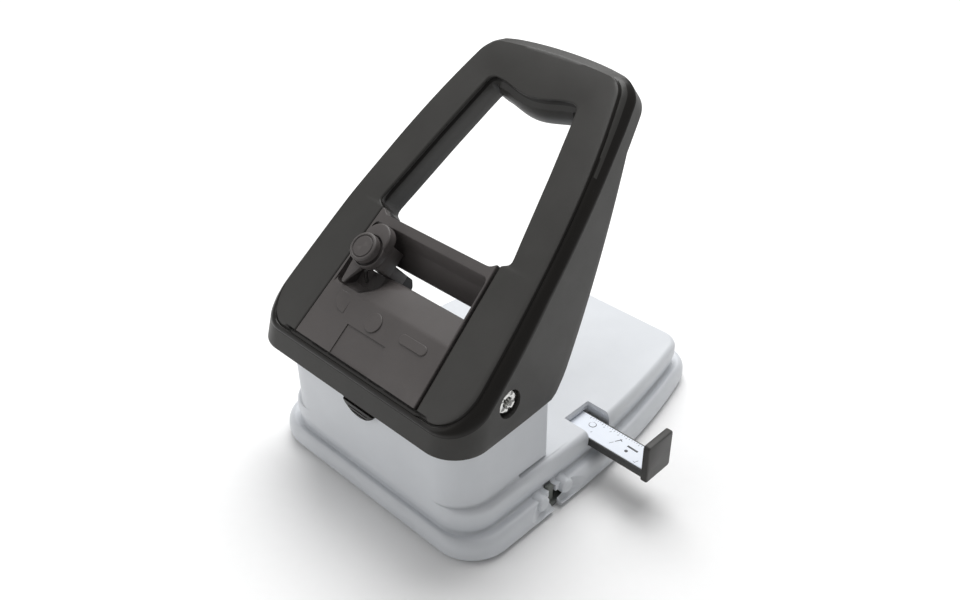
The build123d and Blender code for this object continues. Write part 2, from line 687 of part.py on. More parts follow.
def main():
    save(base_housing() - friction_spring_pocket(), "base_housing")
    save(chip_tray(), "chip_tray")
    save(die_plate(), "die_plate")
    save(punch_guide(), "punch_guide")
    save(punch_bracket(), "punch_bracket")
    save(clamp_screws(), "clamp_screws")
    save(frame_screws(), "frame_screws")
    save(pivot_axle(), "pivot_axle")
    save(axle_washers(), "axle_washers")
    for index, (name, x) in enumerate((("corner", CORNER_X), ("hole", HOLE_X), ("slot", SLOT_X))):
        save(punch(index, x), f"{name}_punch")
        save(punch_spring(x), f"{name}_punch_spring")
    save(handle_spring(), "handle_spring")
    save(handle_frame(), "handle_frame")
    save(handle_panel(), "handle_panel")
    save(panel_screws(), "panel_screws")
    save(selector_carriage(), "selector_carriage")
    save(selector_button(), "selector_button")
    save(button_spring(), "button_spring")
    save(presser_foot(), "presser_foot")
    save(guide_bar(), "guide_bar")
    save(guide_label(), "guide_label")
    save(guide_end_stop(), "guide_end_stop")
    save(guide_friction_spring(), "guide_friction_spring")
    save(lock_slide(), "lock_slide")


main()
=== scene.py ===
import json
from math import acos, asin, atan, atan2, copysign, cos, pi, radians, sin, sqrt, tan

import bmesh
import bpy
import numpy as np
from mathutils import Matrix, Vector


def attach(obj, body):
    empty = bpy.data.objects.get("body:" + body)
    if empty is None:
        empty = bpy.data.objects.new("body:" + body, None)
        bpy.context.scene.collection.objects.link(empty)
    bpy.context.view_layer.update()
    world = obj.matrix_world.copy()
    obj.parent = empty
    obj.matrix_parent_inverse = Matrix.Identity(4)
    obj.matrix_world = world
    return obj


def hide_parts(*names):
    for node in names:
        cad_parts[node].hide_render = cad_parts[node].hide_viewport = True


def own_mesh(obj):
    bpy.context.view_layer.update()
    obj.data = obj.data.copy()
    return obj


# A desktop three-in-one card punch. Shapes are given in millimetres and turned into metres
# when a mesh is made. X is the width, +Y runs from the punch block to the card table, +Z is up.
MM = 0.001

# Handle's own axes: x across, u up the slope from the front crease, v out of the top face
TILT = radians(39.1)
CREASE_Y, CREASE_Z = -65.5, 52.9
SKIRT_FRONT_Y, SKIRT_BOTTOM = -68.1, 44.8
HANDLE_DEPTH = 11.0
SKIN = 3.0
SKIRT_WALL = 2.2
FRONT_CORNER = 12.5
CORNER_END_U = 16.1

# Base
RIM = dict(half=50.0, front=-64.5, back=64.5, side_radius=265.0, front_corner=14.5, back_corner=12.5)
TABLE = dict(half=45.4, front=-62.0, back=59.0, side_radius=300.0, front_corner=13.0, back_corner=8.0)
TAPER_START_Y = -14.5
TABLE_TOP = 18.0
BLOCK_HALF, BLOCK_FRONT, BLOCK_BACK, BLOCK_TOP = 42.6, -62.0, -22.0, 47.5
BLOCK_FRONT_CORNER, BLOCK_BACK_CORNER = 13.0, 2.5
WALL = 2.4

# Pivot, selector and punches
AXLE_Y, AXLE_Z = -45.2, 55.3
BUTTON_X, BUTTON_U = -17.0, 34.4
CARRIAGE_RADIUS = 5.2
CARRIAGE_FAR_U = 39.0
PUNCH_Y = -30.5
PUNCHES = dict(corner=-17.0, hole=0.0, slot=16.5)
SPRING_SEAT = 40.1
SPRING_TOP = 54.6
RECESS_RADIUS = 4.5
LUG_X = 23.4
LUGS = ((8.0, -8.4, 28.2), (42.5, -15.0, 26.6))
SEAM_RIGHT, SEAM_LEFT = 0.9, 0.12
POCKET_DEPTH = 9.0
# Where the shoulder's painted shade ends up the slope and its strip of plain handle plastic starts, for each
# ring counted back from the last
STRIP_START = {7: 98.0, 8: 90.0, 9: 84.0}

# Side guide
BAR_INNER_X = -18.0
STOP_X, STOP_DEPTH = 67.2, 2.4
STOP_Y, STOP_Z = (-6.4, 6.2), (12.0, 26.6)
LABEL_TOP = 15.05

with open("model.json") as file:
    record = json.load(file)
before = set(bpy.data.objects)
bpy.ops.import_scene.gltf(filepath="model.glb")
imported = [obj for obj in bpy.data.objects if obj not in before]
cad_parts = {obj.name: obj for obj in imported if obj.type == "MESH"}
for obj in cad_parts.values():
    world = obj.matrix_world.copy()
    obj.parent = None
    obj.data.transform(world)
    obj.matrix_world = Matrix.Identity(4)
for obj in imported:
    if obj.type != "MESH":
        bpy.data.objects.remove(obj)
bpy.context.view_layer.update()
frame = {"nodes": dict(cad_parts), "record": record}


# ---- mesh helpers


def mix(a, b, share):
    """The point between a and b."""
    return tuple(p + (q - p) * share for p, q in zip(a, b))


def smooth(share):
    share = min(1.0, max(0.0, share))
    return share * share * (3 - 2 * share)


def steps(start, end, count):
    """Evenly spaced values from start on, without the end."""
    return [start + (end - start) * i / count for i in range(count)]


def span(side, near, far):
    """Low and high x of a stretch on one side of the middle."""
    return sorted((side * near, side * far))


def quarter(count):
    """(1 - cos, sin) at even turns from nothing to a quarter turn."""
    return [(1 - cos(a), sin(a)) for a in steps(0, pi / 2, count) + [pi / 2]]


def keyed(at, keys, values):
    return float(np.interp(at, keys, values))


def sloped(x, u, v):
    """Handle axes to the row frame."""
    y = CREASE_Y + u * cos(TILT) - v * sin(TILT)
    z = CREASE_Z + u * sin(TILT) + v * cos(TILT)
    return (x, y, z)


# Straight out of the handle's top face
OUT = Vector(sloped(0, 0, 1)) - Vector(sloped(0, 0, 0))


def along_slope(y, z):
    """How far up the slope a point of the side view lies."""
    return (y - CREASE_Y) * cos(TILT) + (z - CREASE_Z) * sin(TILT)


def new_object(name, points, faces):
    mesh = bpy.data.meshes.new(name)
    mesh.from_pydata([Vector(p) * MM for p in points], [], faces)
    mesh.validate()
    obj = bpy.data.objects.new(name, mesh)
    bpy.context.scene.collection.objects.link(obj)
    edit = bmesh.new()
    edit.from_mesh(mesh)
    bmesh.ops.recalc_face_normals(edit, faces=edit.faces)
    edit.to_mesh(mesh)
    edit.free()
    return obj


def loft(name, rings, closed=False):
    """Skin over rings of equal count. An open loft gets a cap at each end."""
    count = len(rings[0])
    points = [p for ring in rings for p in ring]
    faces = []
    for i in range(len(rings) if closed else len(rings) - 1):
        low = i * count
        high = (i + 1) % len(rings) * count
        for j in range(count):
            k = (j + 1) % count
            faces.append((low + j, low + k, high + k, high + j))
    if not closed:
        faces.append(tuple(reversed(range(count))))
        faces.append(tuple(range(len(points) - count, len(points))))
    return new_object(name, points, faces)


def flat(x, y, z):
    return (x, y, z)


def facing_x(x, y, z):
    """Turns an outline in (y, z) with a height along x into the row frame."""
    return (z, x, y)


def prism(name, outline, low, high, place=flat):
    return loft(name, [[place(x, y, height) for x, y in outline] for height in (low, high)])


def rectangle(x, y):
    return [(x[0], y[0]), (x[1], y[0]), (x[1], y[1]), (x[0], y[1])]


def box(name, x, y, z, place=flat):
    return prism(name, rectangle(x, y), z[0], z[1], place)


def circle(x, y, radius, count=48):
    return [(x + radius * cos(a), y + radius * sin(a)) for a in steps(0, 2 * pi, count)]


def stadium(a, b, radius, count=16):
    """Outline round the line from a to b."""
    heading = atan2(b[1] - a[1], b[0] - a[0])
    points = []
    for centre, start in ((b, heading - pi / 2), (a, heading + pi / 2)):
        for i in range(count + 1):
            angle = start + pi * i / count
            points.append((centre[0] + radius * cos(angle), centre[1] + radius * sin(angle)))
    return points


def rounded(points, radii, count=6):
    """Polygon with its corners turned into arcs; a radius of 0 keeps a corner sharp."""
    outline = []
    for i, (corner, radius) in enumerate(zip(points, radii)):
        if not radius:
            outline.append(tuple(corner))
            continue
        corner = Vector(corner)
        back = (Vector(points[i - 1]) - corner).normalized()
        ahead = (Vector(points[(i + 1) % len(points)]) - corner).normalized()
        half = acos(max(-1, min(1, back.dot(ahead)))) / 2
        centre = corner + (back + ahead).normalized() * (radius / sin(half))
        start = corner + back * (radius / tan(half)) - centre
        end = corner + ahead * (radius / tan(half)) - centre
        for j in range(count + 1):
            arm = start.lerp(end, j / count).normalized() * radius
            outline.append(tuple(centre + arm))
    return outline


def lathe(name, profile, centre, axis, count=64):
    """Turned solid: profile is a list of (radius, height) along axis from centre."""
    axis = Vector(axis).normalized()
    side = axis.orthogonal().normalized()
    other = axis.cross(side)
    rings = []
    for radius, height in profile:
        middle = Vector(centre) + axis * height
        rings.append([tuple(middle + side * x + other * y) for x, y in circle(0, 0, radius, count)])
    return loft(name, rings)


def tube(name, path, radius, count=12):
    """Round wire along a list of points."""
    path = [Vector(p) for p in path]
    side = (path[1] - path[0]).normalized().orthogonal().normalized()
    rings = []
    for i, point in enumerate(path):
        ahead = path[min(i + 1, len(path) - 1)] - path[max(i - 1, 0)]
        tangent = ahead.normalized()
        side = (side - tangent * side.dot(tangent)).normalized()
        other = tangent.cross(side)
        rings.append([tuple(point + side * x + other * y) for x, y in circle(0, 0, radius, count)])
    return loft(name, rings)


def bake(obj):
    """Turn the modifiers into mesh."""
    depsgraph = bpy.context.evaluated_depsgraph_get()
    mesh = bpy.data.meshes.new_from_object(obj.evaluated_get(depsgraph))
    obj.modifiers.clear()
    old = obj.data
    obj.data = mesh
    bpy.data.meshes.remove(old)


def combine(target, tool, operation):
    modifier = target.modifiers.new("combine", "BOOLEAN")
    modifier.object = tool
    modifier.operation = operation
    modifier.solver = "EXACT"
    bake(target)
    bpy.data.objects.remove(tool)


def cut(target, *tools):
    for tool in tools:
        combine(target, tool, "DIFFERENCE")


def add(target, *tools):
    for tool in tools:
        combine(target, tool, "UNION")


def join(target, *others):
    """Put separate solids into one mesh."""
    edit = bmesh.new()
    for obj in (target, *others):
        edit.from_mesh(obj.data)
    edit.to_mesh(target.data)
    edit.free()
    for obj in others:
        bpy.data.objects.remove(obj)


def round_edges(obj, width, segments=3, angle=30):
    modifier = obj.modifiers.new("round", "BEVEL")
    modifier.width = width * MM
    modifier.segments = segments
    modifier.limit_method = "ANGLE"
    modifier.angle_limit = radians(angle)
    modifier.miter_outer = "MITER_ARC"
    bake(obj)


def shade(obj, angle):
    """Smooth faces with sharp edges only where the surface really turns."""
    edit = bmesh.new()
    edit.from_mesh(obj.data)
    bmesh.ops.remove_doubles(edit, verts=edit.verts, dist=1e-7)
    for face in edit.faces:
        face.smooth = True
    for edge in edit.edges:
        edge.smooth = len(edge.link_faces) == 2 and edge.calc_face_angle(0) < radians(angle)
    edit.to_mesh(obj.data)
    edit.free()


# ---- materials


def feed(tree, target, inputs):
    """Set a node's inputs; each is a value or the socket that feeds it."""
    for name, value in inputs.items():
        if isinstance(value, bpy.types.NodeSocket):
            tree.links.new(value, target.inputs[name])
        else:
            target.inputs[name].default_value = value


def node(tree, kind, inputs=None, **settings):
    made = tree.nodes.new(kind)
    for name, value in settings.items():
        setattr(made, name, value)
    feed(tree, made, inputs or {})
    return made


def ramp(tree, source, low, high):
    """Map a 0 to 1 value to the range low to high."""
    made = node(tree, "ShaderNodeMapRange", {"Value": source, "To Min": low, "To Max": high})
    return made.outputs["Result"]


def noise(tree, coordinate, scale, detail=3.0, roughness=0.5):
    inputs = {"Vector": coordinate, "Scale": scale, "Detail": detail, "Roughness": roughness}
    return node(tree, "ShaderNodeTexNoise", inputs).outputs["Fac"]


def linear(colour):
    """sRGB 0 to 255 to scene-linear RGBA."""
    values = [c / 255 for c in colour]
    return tuple(c / 12.92 if c <= 0.04045 else ((c + 0.055) / 1.055) ** 2.4 for c in values) + (1.0,)


def tinted(tree, low, high, factor):
    """Colour between two others."""
    made = node(tree, "ShaderNodeMix", {"A": low, "B": high, "Factor": factor}, data_type="RGBA")
    return made.outputs["Result"]


def new_material(name, values):
    """A material with these shader values, its node tree, its shader and the object coordinate."""
    material = bpy.data.materials.new(name)
    material.use_nodes = True
    tree = material.node_tree
    shader = tree.nodes["Principled BSDF"]
    feed(tree, shader, values)
    return material, tree, shader, node(tree, "ShaderNodeTexCoord").outputs["Object"]


def relief(tree, shader, height, strength, depth):
    """Bump of this depth in millimetres."""
    bump = node(tree, "ShaderNodeBump", {"Height": height, "Strength": strength, "Distance": depth * MM})
    feed(tree, shader, {"Normal": bump.outputs["Normal"]})


def surface(name, dark, light, worn, roughness, grain, depth, specular=0.5):
    """A moulded finish: blotchy colour, edge wear, uneven gloss and a fine grain in relief.

    dark and light are the colour's two ends, worn the colour of rubbed edges, grain the size of the
    relief in millimetres and depth its height in millimetres."""
    material, tree, shader, coordinate = new_material(name, {"Specular IOR Level": specular})
    blotch = noise(tree, coordinate, 60.0, 4.0, 0.55)
    colour = tinted(tree, linear(dark), linear(light), ramp(tree, blotch, -0.4, 1.4))

    pointiness = node(tree, "ShaderNodeNewGeometry").outputs["Pointiness"]
    edge = node(tree, "ShaderNodeMapRange",
                {"Value": pointiness, "From Min": 0.53, "From Max": 0.62, "To Max": 0.35}).outputs["Result"]
    scuffs = noise(tree, coordinate, 420.0, 2.0)
    scuffed = node(tree, "ShaderNodeMath", {0: edge, 1: scuffs}, operation="MULTIPLY").outputs["Value"]
    smear = noise(tree, coordinate, 140.0, 5.0, 0.6)
    feed(tree, shader, {"Base Color": tinted(tree, colour, linear(worn), scuffed),
                        "Roughness": ramp(tree, smear, *roughness)})
    relief(tree, shader, noise(tree, coordinate, 1 / (grain * MM), 2.0, 0.6), 1.0, depth)
    return material


def brushed(name, dark, light, roughness, direction):
    """Steel with fine lines along one axis."""
    material, tree, shader, coordinate = new_material(name, {"Metallic": 1.0})
    stretched = node(tree, "ShaderNodeMapping", {"Vector": coordinate, "Scale": direction}).outputs["Vector"]
    lines = noise(tree, stretched, 900.0, 3.0, 0.7)
    stain = noise(tree, coordinate, 90.0, 4.0, 0.6)
    feed(tree, shader, {"Base Color": tinted(tree, linear(dark), linear(light), stain),
                        "Roughness": ramp(tree, lines, *roughness)})
    relief(tree, shader, lines, 0.6, 0.01)
    return material


# Each plastic's dark, light and worn colour, roughness range, grain size and depth, and specular level
PLASTICS = {
    "base_plastic": ((206, 209, 213), (213, 216, 220), (232, 234, 237), (0.34, 0.46), 0.35, 0.012),
    "handle_plastic": ((49, 48, 46), (57, 56, 54), (100, 98, 96), (0.38, 0.5), 0.22, 0.014, 0.38),
    "panel_plastic": ((73, 69, 68), (82, 78, 77), (118, 114, 112), (0.42, 0.54), 0.22, 0.014, 0.42),
    # near-black: painted shade and painted dark reflection on the handle frame's shoulder, front lip and loop
    # undercut; the lock tab's own colour
    "near_black_and_painted_shade": ((20, 18, 16), (27, 25, 22), (60, 58, 56), (0.28, 0.42), 0.3, 0.008, 0.3),
    "tray_plastic": ((96, 100, 96), (112, 116, 111), (140, 143, 139), (0.5, 0.62), 0.4, 0.02),
    "black_plastic": ((46, 47, 46), (58, 59, 57), (98, 98, 96), (0.36, 0.5), 0.22, 0.016),
    "label_white": ((226, 233, 244), (233, 239, 248), (240, 243, 249), (0.3, 0.42), 0.5, 0.003),
    "mark_ink": ((38, 40, 48), (52, 54, 62), (80, 82, 90), (0.4, 0.55), 0.4, 0.002),
}
# Each steel's dark and light colour, roughness range and the stretch of its lines
STEELS = {
    "rivet_chrome": ((205, 205, 203), (236, 236, 234), (0.12, 0.26), (1, 1, 1)),
    "spring_steel": ((150, 150, 150), (188, 188, 186), (0.22, 0.36), (1, 1, 6)),
    "tool_steel": ((128, 130, 133), (166, 168, 170), (0.24, 0.4), (1, 1, 8)),
    "zinc_steel": ((158, 162, 165), (196, 199, 200), (0.28, 0.46), (7, 1, 1)),
    # painted shade: near-black instead of bare steel, for the presser foot seen in shade through the handle's
    # slot
    "painted_shade_steel": ((44, 44, 45), (62, 62, 62), (0.32, 0.5), (1, 1, 6)),
}
PAINTS = {name: surface(name, *values) for name, values in PLASTICS.items()}
PAINTS.update({name: brushed(name, *values) for name, values in STEELS.items()})


def paint(obj, material):
    obj.data.materials.clear()
    obj.data.materials.append(material)


def place(obj, body, slot, *replaced, sharp=32):
    """Finish a piece: its sharp edges, paint, body and slot, and the CAD nodes that it stands for."""
    if sharp:
        shade(obj, sharp)
    if not obj.data.materials:
        obj.data.materials.append(PAINTS[slot])
    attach(obj, body)
    if replaced:
        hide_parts(*replaced)
    return obj


# ---- base housing

FRONT_STEPS, CORNER_STEPS, NEAR_STEPS, FAR_STEPS, BACK_CORNER_STEPS, BACK_STEPS = 8, 18, 22, 34, 12, 12


def mirrored(right):
    """A ring from its right half, which starts and ends on the middle line."""
    return right + [(-x, y) for x, y in reversed(right[1:-1])]


def front_points(half, front, radius):
    """The front edge and its corner, up to the start of the straight side."""
    points = [(x, front) for x in steps(0, half - radius, FRONT_STEPS)]
    for angle in steps(-pi / 2, 0, CORNER_STEPS):
        points.append((half - radius + radius * cos(angle), front + radius * (1 + sin(angle))))
    return points


def tapered_ring(half, front, back, side_radius, front_corner, back_corner, inset=0.0):
    """Plan of the rim or the table: straight sides that curve inwards behind the taper's start."""
    half, front, back = half - inset, front + inset, back - inset
    side_radius, front_corner, back_corner = side_radius - inset, front_corner - inset, back_corner - inset
    side_centre = half - side_radius

    def side(y):
        behind = max(0.0, y - TAPER_START_Y)
        return side_centre + sqrt(side_radius ** 2 - behind ** 2)

    corner_y = back - back_corner
    corner_x = side_centre + sqrt((side_radius - back_corner) ** 2 - (corner_y - TAPER_START_Y) ** 2)
    tangent = atan2(corner_y - TAPER_START_Y, corner_x - side_centre)
    side_end = corner_y + back_corner * sin(tangent)
    block_end = BLOCK_BACK - BLOCK_BACK_CORNER
    points = front_points(half, front, front_corner)
    points += [(side(y), y) for y in steps(front + front_corner, block_end, NEAR_STEPS)]
    points += [(side(y), y) for y in steps(block_end, side_end, FAR_STEPS)]
    for angle in steps(tangent, pi / 2, BACK_CORNER_STEPS):
        points.append((corner_x + back_corner * cos(angle), corner_y + back_corner * sin(angle)))
    points += [(x, back) for x in steps(corner_x, 0, BACK_STEPS)]
    points.append((0.0, back))
    return mirrored(points)


def block_ring(inset=0.0):
    """Plan of the punch block, point for point with tapered_ring."""
    half, front, back = BLOCK_HALF - inset, BLOCK_FRONT + inset, BLOCK_BACK - inset
    front_corner, back_corner = BLOCK_FRONT_CORNER - inset, max(0.3, BLOCK_BACK_CORNER - inset)
    points = front_points(half, front, front_corner)
    points += [(half, y) for y in steps(front + front_corner, back - back_corner, NEAR_STEPS)]
    for angle in steps(0, pi / 2, FAR_STEPS):
        x = half - back_corner * (1 - cos(angle))
        points.append((x, back - back_corner * (1 - sin(angle))))
    points += [(x, back) for x in steps(half - back_corner, 0, BACK_CORNER_STEPS + BACK_STEPS)]
    points.append((0.0, back))
    return mirrored(points)


def shelf_weights():
    """0 where the block is flush with the table's front, 1 where the shelf beside it is full."""
    right = [0.0] * FRONT_STEPS + [sin(a) for a in steps(0, pi / 2, CORNER_STEPS)]
    right += [1.0] * (NEAR_STEPS + FAR_STEPS + BACK_CORNER_STEPS + BACK_STEPS + 1)
    return right + right[1:-1][::-1]


def base_shell():
    rim, table, block = tapered_ring(**RIM), tapered_ring(**TABLE), block_ring()
    weights = shelf_weights()

    def level(ring, z):
        return [(x, y, z) for x, y in ring]

    def between(ring, other, share):
        return [mix(a, b, share) for a, b in zip(ring, other)]

    def between_weighted(ring, other, share):
        return [mix(a, b, w * share) for a, b, w in zip(ring, other, weights)]

    rings = [
        level(block_ring(WALL), BLOCK_TOP - WALL),
        level(block_ring(WALL), TABLE_TOP - 2.1),
        level(tapered_ring(**TABLE, inset=WALL), TABLE_TOP - 2.2),
        level(tapered_ring(**TABLE, inset=WALL), 5.9),
        level(tapered_ring(**RIM, inset=WALL), 5.8),
        level(tapered_ring(**RIM, inset=WALL), 0.8),
    ]
    foot_radius, valley_depth, edge_radius, fillet, upper_radius = 1.6, 0.9, 2.2, 0.9, 1.2
    for c, s in quarter(4):
        rings.append(level(tapered_ring(**RIM, inset=foot_radius * (1 - s)), 0.8 + foot_radius * c))
    valley = tapered_ring(**TABLE, inset=valley_depth)
    bead = [(0.5 * c, 4.6 + 3.7 * s) for c, s in quarter(9)]
    bead += [(0.62, 8.22), (0.74, 8.05), (0.86, 7.95), (0.95, 8.15), (1.0, 8.6)]
    rings += [level(between(rim, valley, share), z) for share, z in bead]
    rings += [level(tapered_ring(**TABLE, inset=valley_depth * share), z) for share, z in (
        (0.9, 9.3), (0.7, 10.2), (0.45, 11.2), (0.22, 12.2), (0.07, 13.2), (0.0, 14.3))]
    edge_inner = tapered_ring(**TABLE, inset=edge_radius)
    for c, s in quarter(6):
        rings.append(level(between_weighted(table, edge_inner, c), TABLE_TOP - edge_radius * (1 - s)))
    edge_end = between_weighted(table, edge_inner, 1.0)
    outer_foot = between_weighted(block, block_ring(-fillet), 1.0)
    rings += [level(between(edge_end, outer_foot, share), TABLE_TOP) for share in (0.4, 0.8)]
    rings += [level(between(outer_foot, block, s), TABLE_TOP + fillet * c) for c, s in quarter(3)]
    rings += [level(block, z) for z in (24.0, 32.0, 40.0)]
    rings += [level(block_ring(upper_radius * c), BLOCK_TOP - upper_radius * (1 - s)) for c, s in quarter(3)]
    return loft("base_shell", rings)


def make_base():
    shell = base_shell()
    for side in (-1, 1):
        add(shell, box("ledge", span(side, 28.5, 40.9), (-48.0, -24.3), (10.0, 14.0)))
    add(shell, box("tunnel", (-42.0, 43.4), (-7.2, 8.2), (9.6, 16.2)))
    slit = box("slit", (-60, 60), (-36.5, -21.0), (TABLE_TOP, TABLE_TOP + 0.9))
    window = box("window", (-27, 27), (-37.0, -25.2), (40, 50))
    cut(shell, slit, window)
    for side in (-1, 1):
        cut(shell, box("ear_slot", span(side, 37.1, 39.9), (-52.4, -38.0), (40, 50)))
        for y in (-44.0, -27.0):
            cut(shell, prism("screw_hole", circle(side * 32.0, y, 1.7, 24), 8, 16))
    tunnel = box("tunnel_hole", (-40, 60), (-5.3, 5.3), (11.7, 15.8))
    channel = box("channel", (35.3, 60), (-5.3, 6.3), (11.7, 19))
    chamfer = loft("chamfer", [[(x, y, z) for x, y in rectangle((low_x, 60), sides)] for low_x, sides, z in (
        (35.3, (-5.3, 6.3), 17.0), (34.6, (-5.5, 7.0), 18.3))])
    pocket = box("leaf_pocket", (9.7, 30.3), (-2.8, 2.8), (10.3, 12.5))
    cut(shell, tunnel, channel, chamfer, pocket)

    cut(shell, box("lock_slot", (-3.2, 3.2), (-70, -59), (34.8, 42.6)))
    cut(shell, box("lock_pocket", (-7.7, 7.7), (-70, BLOCK_FRONT + 0.6), (37.0, 50)))

    scoop_radius = 29.7
    scoop_x = RIM["half"] - 3.0 + scoop_radius
    rings = []
    for z, grow in ((2.2, -1.6), (3.2, -0.5), (4.6, 0.0), (9.0, 0.0), (10.6, -0.5), (11.8, -1.8)):
        rings.append([(x, y, z) for x, y in circle(scoop_x, -25.0, scoop_radius + grow, 160)])
    cut(shell, loft("scoop", rings))
    bulge = [(2.7, 0.0), (2.7, 4.0), (2.5, 4.7), (1.9, 5.2), (0.01, 5.4)]
    for y in (-31.0, -19.5):
        add(shell, lathe("bulge", bulge, (44.0, y, 6.2), (1, 0, 0), 48))
    cut(shell, box("catch_slot", (43, 52), (-26.9, -23.5), (-1, 9.2)))
    shell.name = "housing_shell"
    return place(shell, "base", "base_plastic", "base_housing", sharp=28)


def make_tray():
    rings = [[(x, y, z) for x, y in tapered_ring(**RIM, inset=WALL + gap)] for gap, z in (
        (0.8, 0.0), (0.45, 0.15), (0.3, 0.5), (0.3, 2.2))]
    tray = loft("tray_cover", rings)
    walls = box("chip_walls", (-27, 27), (-55, -12), (1.2, 7.0))
    cut(walls, box("chip_room", (-25.4, 25.4), (-53.4, -13.6), (2.2, 8)))
    catch = box("tray_catch", (44.6, 46.4), (-26.6, -23.8), (1.2, 8.6))
    round_edges(catch, 0.4, 2)
    join(tray, walls, catch)
    return place(tray, "tray", "tray_plastic", "chip_tray")


# ---- handle frame

OUTER_FIT = np.polyfit((0, 25, 40, 80, 104, 117.5), (47.8, 46.3, 44.8, 39.0, 33.6, 30.4), 3)
TOP_FIT = np.polyfit((0, 20, 40, 60, 80, 100, 114), (44.4, 43.0, 41.4, 39.2, 36.0, 31.3, 27.2), 3)
GRIP_STEPS, END_STEPS, SIDE_REACH = 14, 12, 4
GRIP_HALF, GRIP_BOW = 30.4, 2.5
SIDE_U = steps(CORNER_END_U, 47.4, 15) + [47.4, 48.4, 49.1, 49.5, 49.9, 50.3, 50.7, 51.2, 52.0, 53.2] + steps(
    55.0, 99.0, 22) + [99.0]


def outer_half(u):
    return float(np.polyval(OUTER_FIT, u))


def top_half(u):
    return float(np.polyval(TOP_FIT, u))


def grip_end(fit, inset, radius, end_u):
    """Right half of the grip end in (x, u): the rest of the side, the corner's arc and the end's bow."""

    def half(u):
        return float(np.polyval(fit, u)) - inset

    def slope(u):
        return (half(u + 0.5) - half(u - 0.5))

    def bow(x):
        return end_u - inset - GRIP_BOW * (x / GRIP_HALF) ** 2

    def centre(u):
        turn = atan(-slope(u))
        return (half(u) - radius * cos(turn), u - radius * sin(turn), turn)

    low, high = 90.0, 120.0
    for _ in range(40):
        middle = (low + high) / 2
        x, u, _turn = centre(middle)
        if u + radius < bow(x):
            low = middle
        else:
            high = middle
    x, u, start = centre(low)
    finish = pi / 2 - atan(2 * GRIP_BOW * x / GRIP_HALF ** 2)
    points = [(half(s), s) for s in steps(SIDE_U[-1], low, SIDE_REACH)][1:]
    for a in steps(start, finish, GRIP_STEPS - SIDE_REACH + 1):
        points.append((x + radius * cos(a), u + radius * sin(a)))
    corner_end = x + radius * cos(finish)
    points += [(p, bow(p)) for p in steps(corner_end, 0, END_STEPS)]
    points.append((0.0, bow(0.0)))
    return points


OUTER_GRIP = grip_end(OUTER_FIT, 0.0, 10.0, 120.0)
INNER_GRIP = grip_end(OUTER_FIT, SKIRT_WALL, 7.8, 120.0)
TOP_GRIP = grip_end(TOP_FIT, 0.0, 8.0, 117.0)
GRIP_COUNT = len(OUTER_GRIP)
SIDE_FIRST = FRONT_STEPS + CORNER_STEPS
GRIP_FIRST = SIDE_FIRST + len(SIDE_U) + 12
HALF_COUNT = SIDE_FIRST + len(SIDE_U) + GRIP_COUNT


def bevel_drop(u):
    """How far below the top plane the bevel's lower edge lies."""
    return keyed(u, (16, 30, 48, 60, 80, 108), (4.3, 4.2, 3.6, 4.0, 4.6, 5.4))


def skirt_edge():
    """Side view (y, z) of the skirt's lower edge from the front corner to the grip."""
    _, end_y, end_z = sloped(0, 99.0, -HANDLE_DEPTH)
    start = (SKIRT_FRONT_Y + FRONT_CORNER, SKIRT_BOTTOM)
    corners = [start, (-25.0, SKIRT_BOTTOM), (-19.5, 50.5), (end_y, end_z)]
    path = [Vector(p) for p in rounded(corners, (0, 3.0, 3.0, 0), 10)]
    lengths = [0.0]
    for a, b in zip(path, path[1:]):
        lengths.append(lengths[-1] + (b - a).length)
    return path, lengths


EDGE_PATH, EDGE_LENGTHS = skirt_edge()


def skirt_edge_point(share):
    target = share * EDGE_LENGTHS[-1]
    y = keyed(target, EDGE_LENGTHS, [p.x for p in EDGE_PATH])
    z = keyed(target, EDGE_LENGTHS, [p.y for p in EDGE_PATH])
    return y, z


def front_face_y(z):
    """The front skirt leans out a little towards its lower edge."""
    below = max(0.0, CREASE_Z - z)
    return CREASE_Y + (SKIRT_FRONT_Y - CREASE_Y) * below / (CREASE_Z - SKIRT_BOTTOM)


def corner_turns():
    """Turn of each front and corner column: a quarter turn at the front, 0 at the side."""
    return [pi / 2] * FRONT_STEPS + steps(pi / 2, 0, CORNER_STEPS)


def skirt_point(index, inset, share):
    """Right half of the skirt: share runs from the bevel's lower edge down to the skirt's own."""
    turns = corner_turns()
    if index < len(turns):
        turn = turns[index]
        reach = FRONT_CORNER - inset
        top_y = CREASE_Y + FRONT_CORNER * (1 - sin(turn))
        drop = 1.8 + (5.54 - 1.8) * smooth(1 - turn / (pi / 2))
        top_z = CREASE_Z + (top_y - CREASE_Y) * tan(TILT) - drop
        z = top_z + (SKIRT_BOTTOM - top_z) * share
        y = front_face_y(z) + inset + reach * (1 - sin(turn))
        half = outer_half(max(0.0, along_slope(y, z))) - inset
        if index < FRONT_STEPS:
            return ((half - reach) * index / FRONT_STEPS, y, z)
        return (half - reach * (1 - cos(turn)), y, z)
    index -= len(turns)
    if index < len(SIDE_U):
        u = SIDE_U[index]
        low_y, low_z = skirt_edge_point((u - CORNER_END_U) / (SIDE_U[-1] - CORNER_END_U))
        _, high_y, high_z = sloped(0, u, -bevel_drop(u))
        y = high_y + (low_y - high_y) * share
        z = high_z + (low_z - high_z) * share
        return (outer_half(along_slope(y, z)) - inset, y, z)
    index -= len(SIDE_U)
    outer, inner = OUTER_GRIP[index], INNER_GRIP[index]
    x, u = mix(outer, inner, inset / SKIRT_WALL)
    top = -bevel_drop(108) + 3.2 * smooth((index - 4) / 14.0)
    return sloped(x, u, top + (-HANDLE_DEPTH - top) * share)


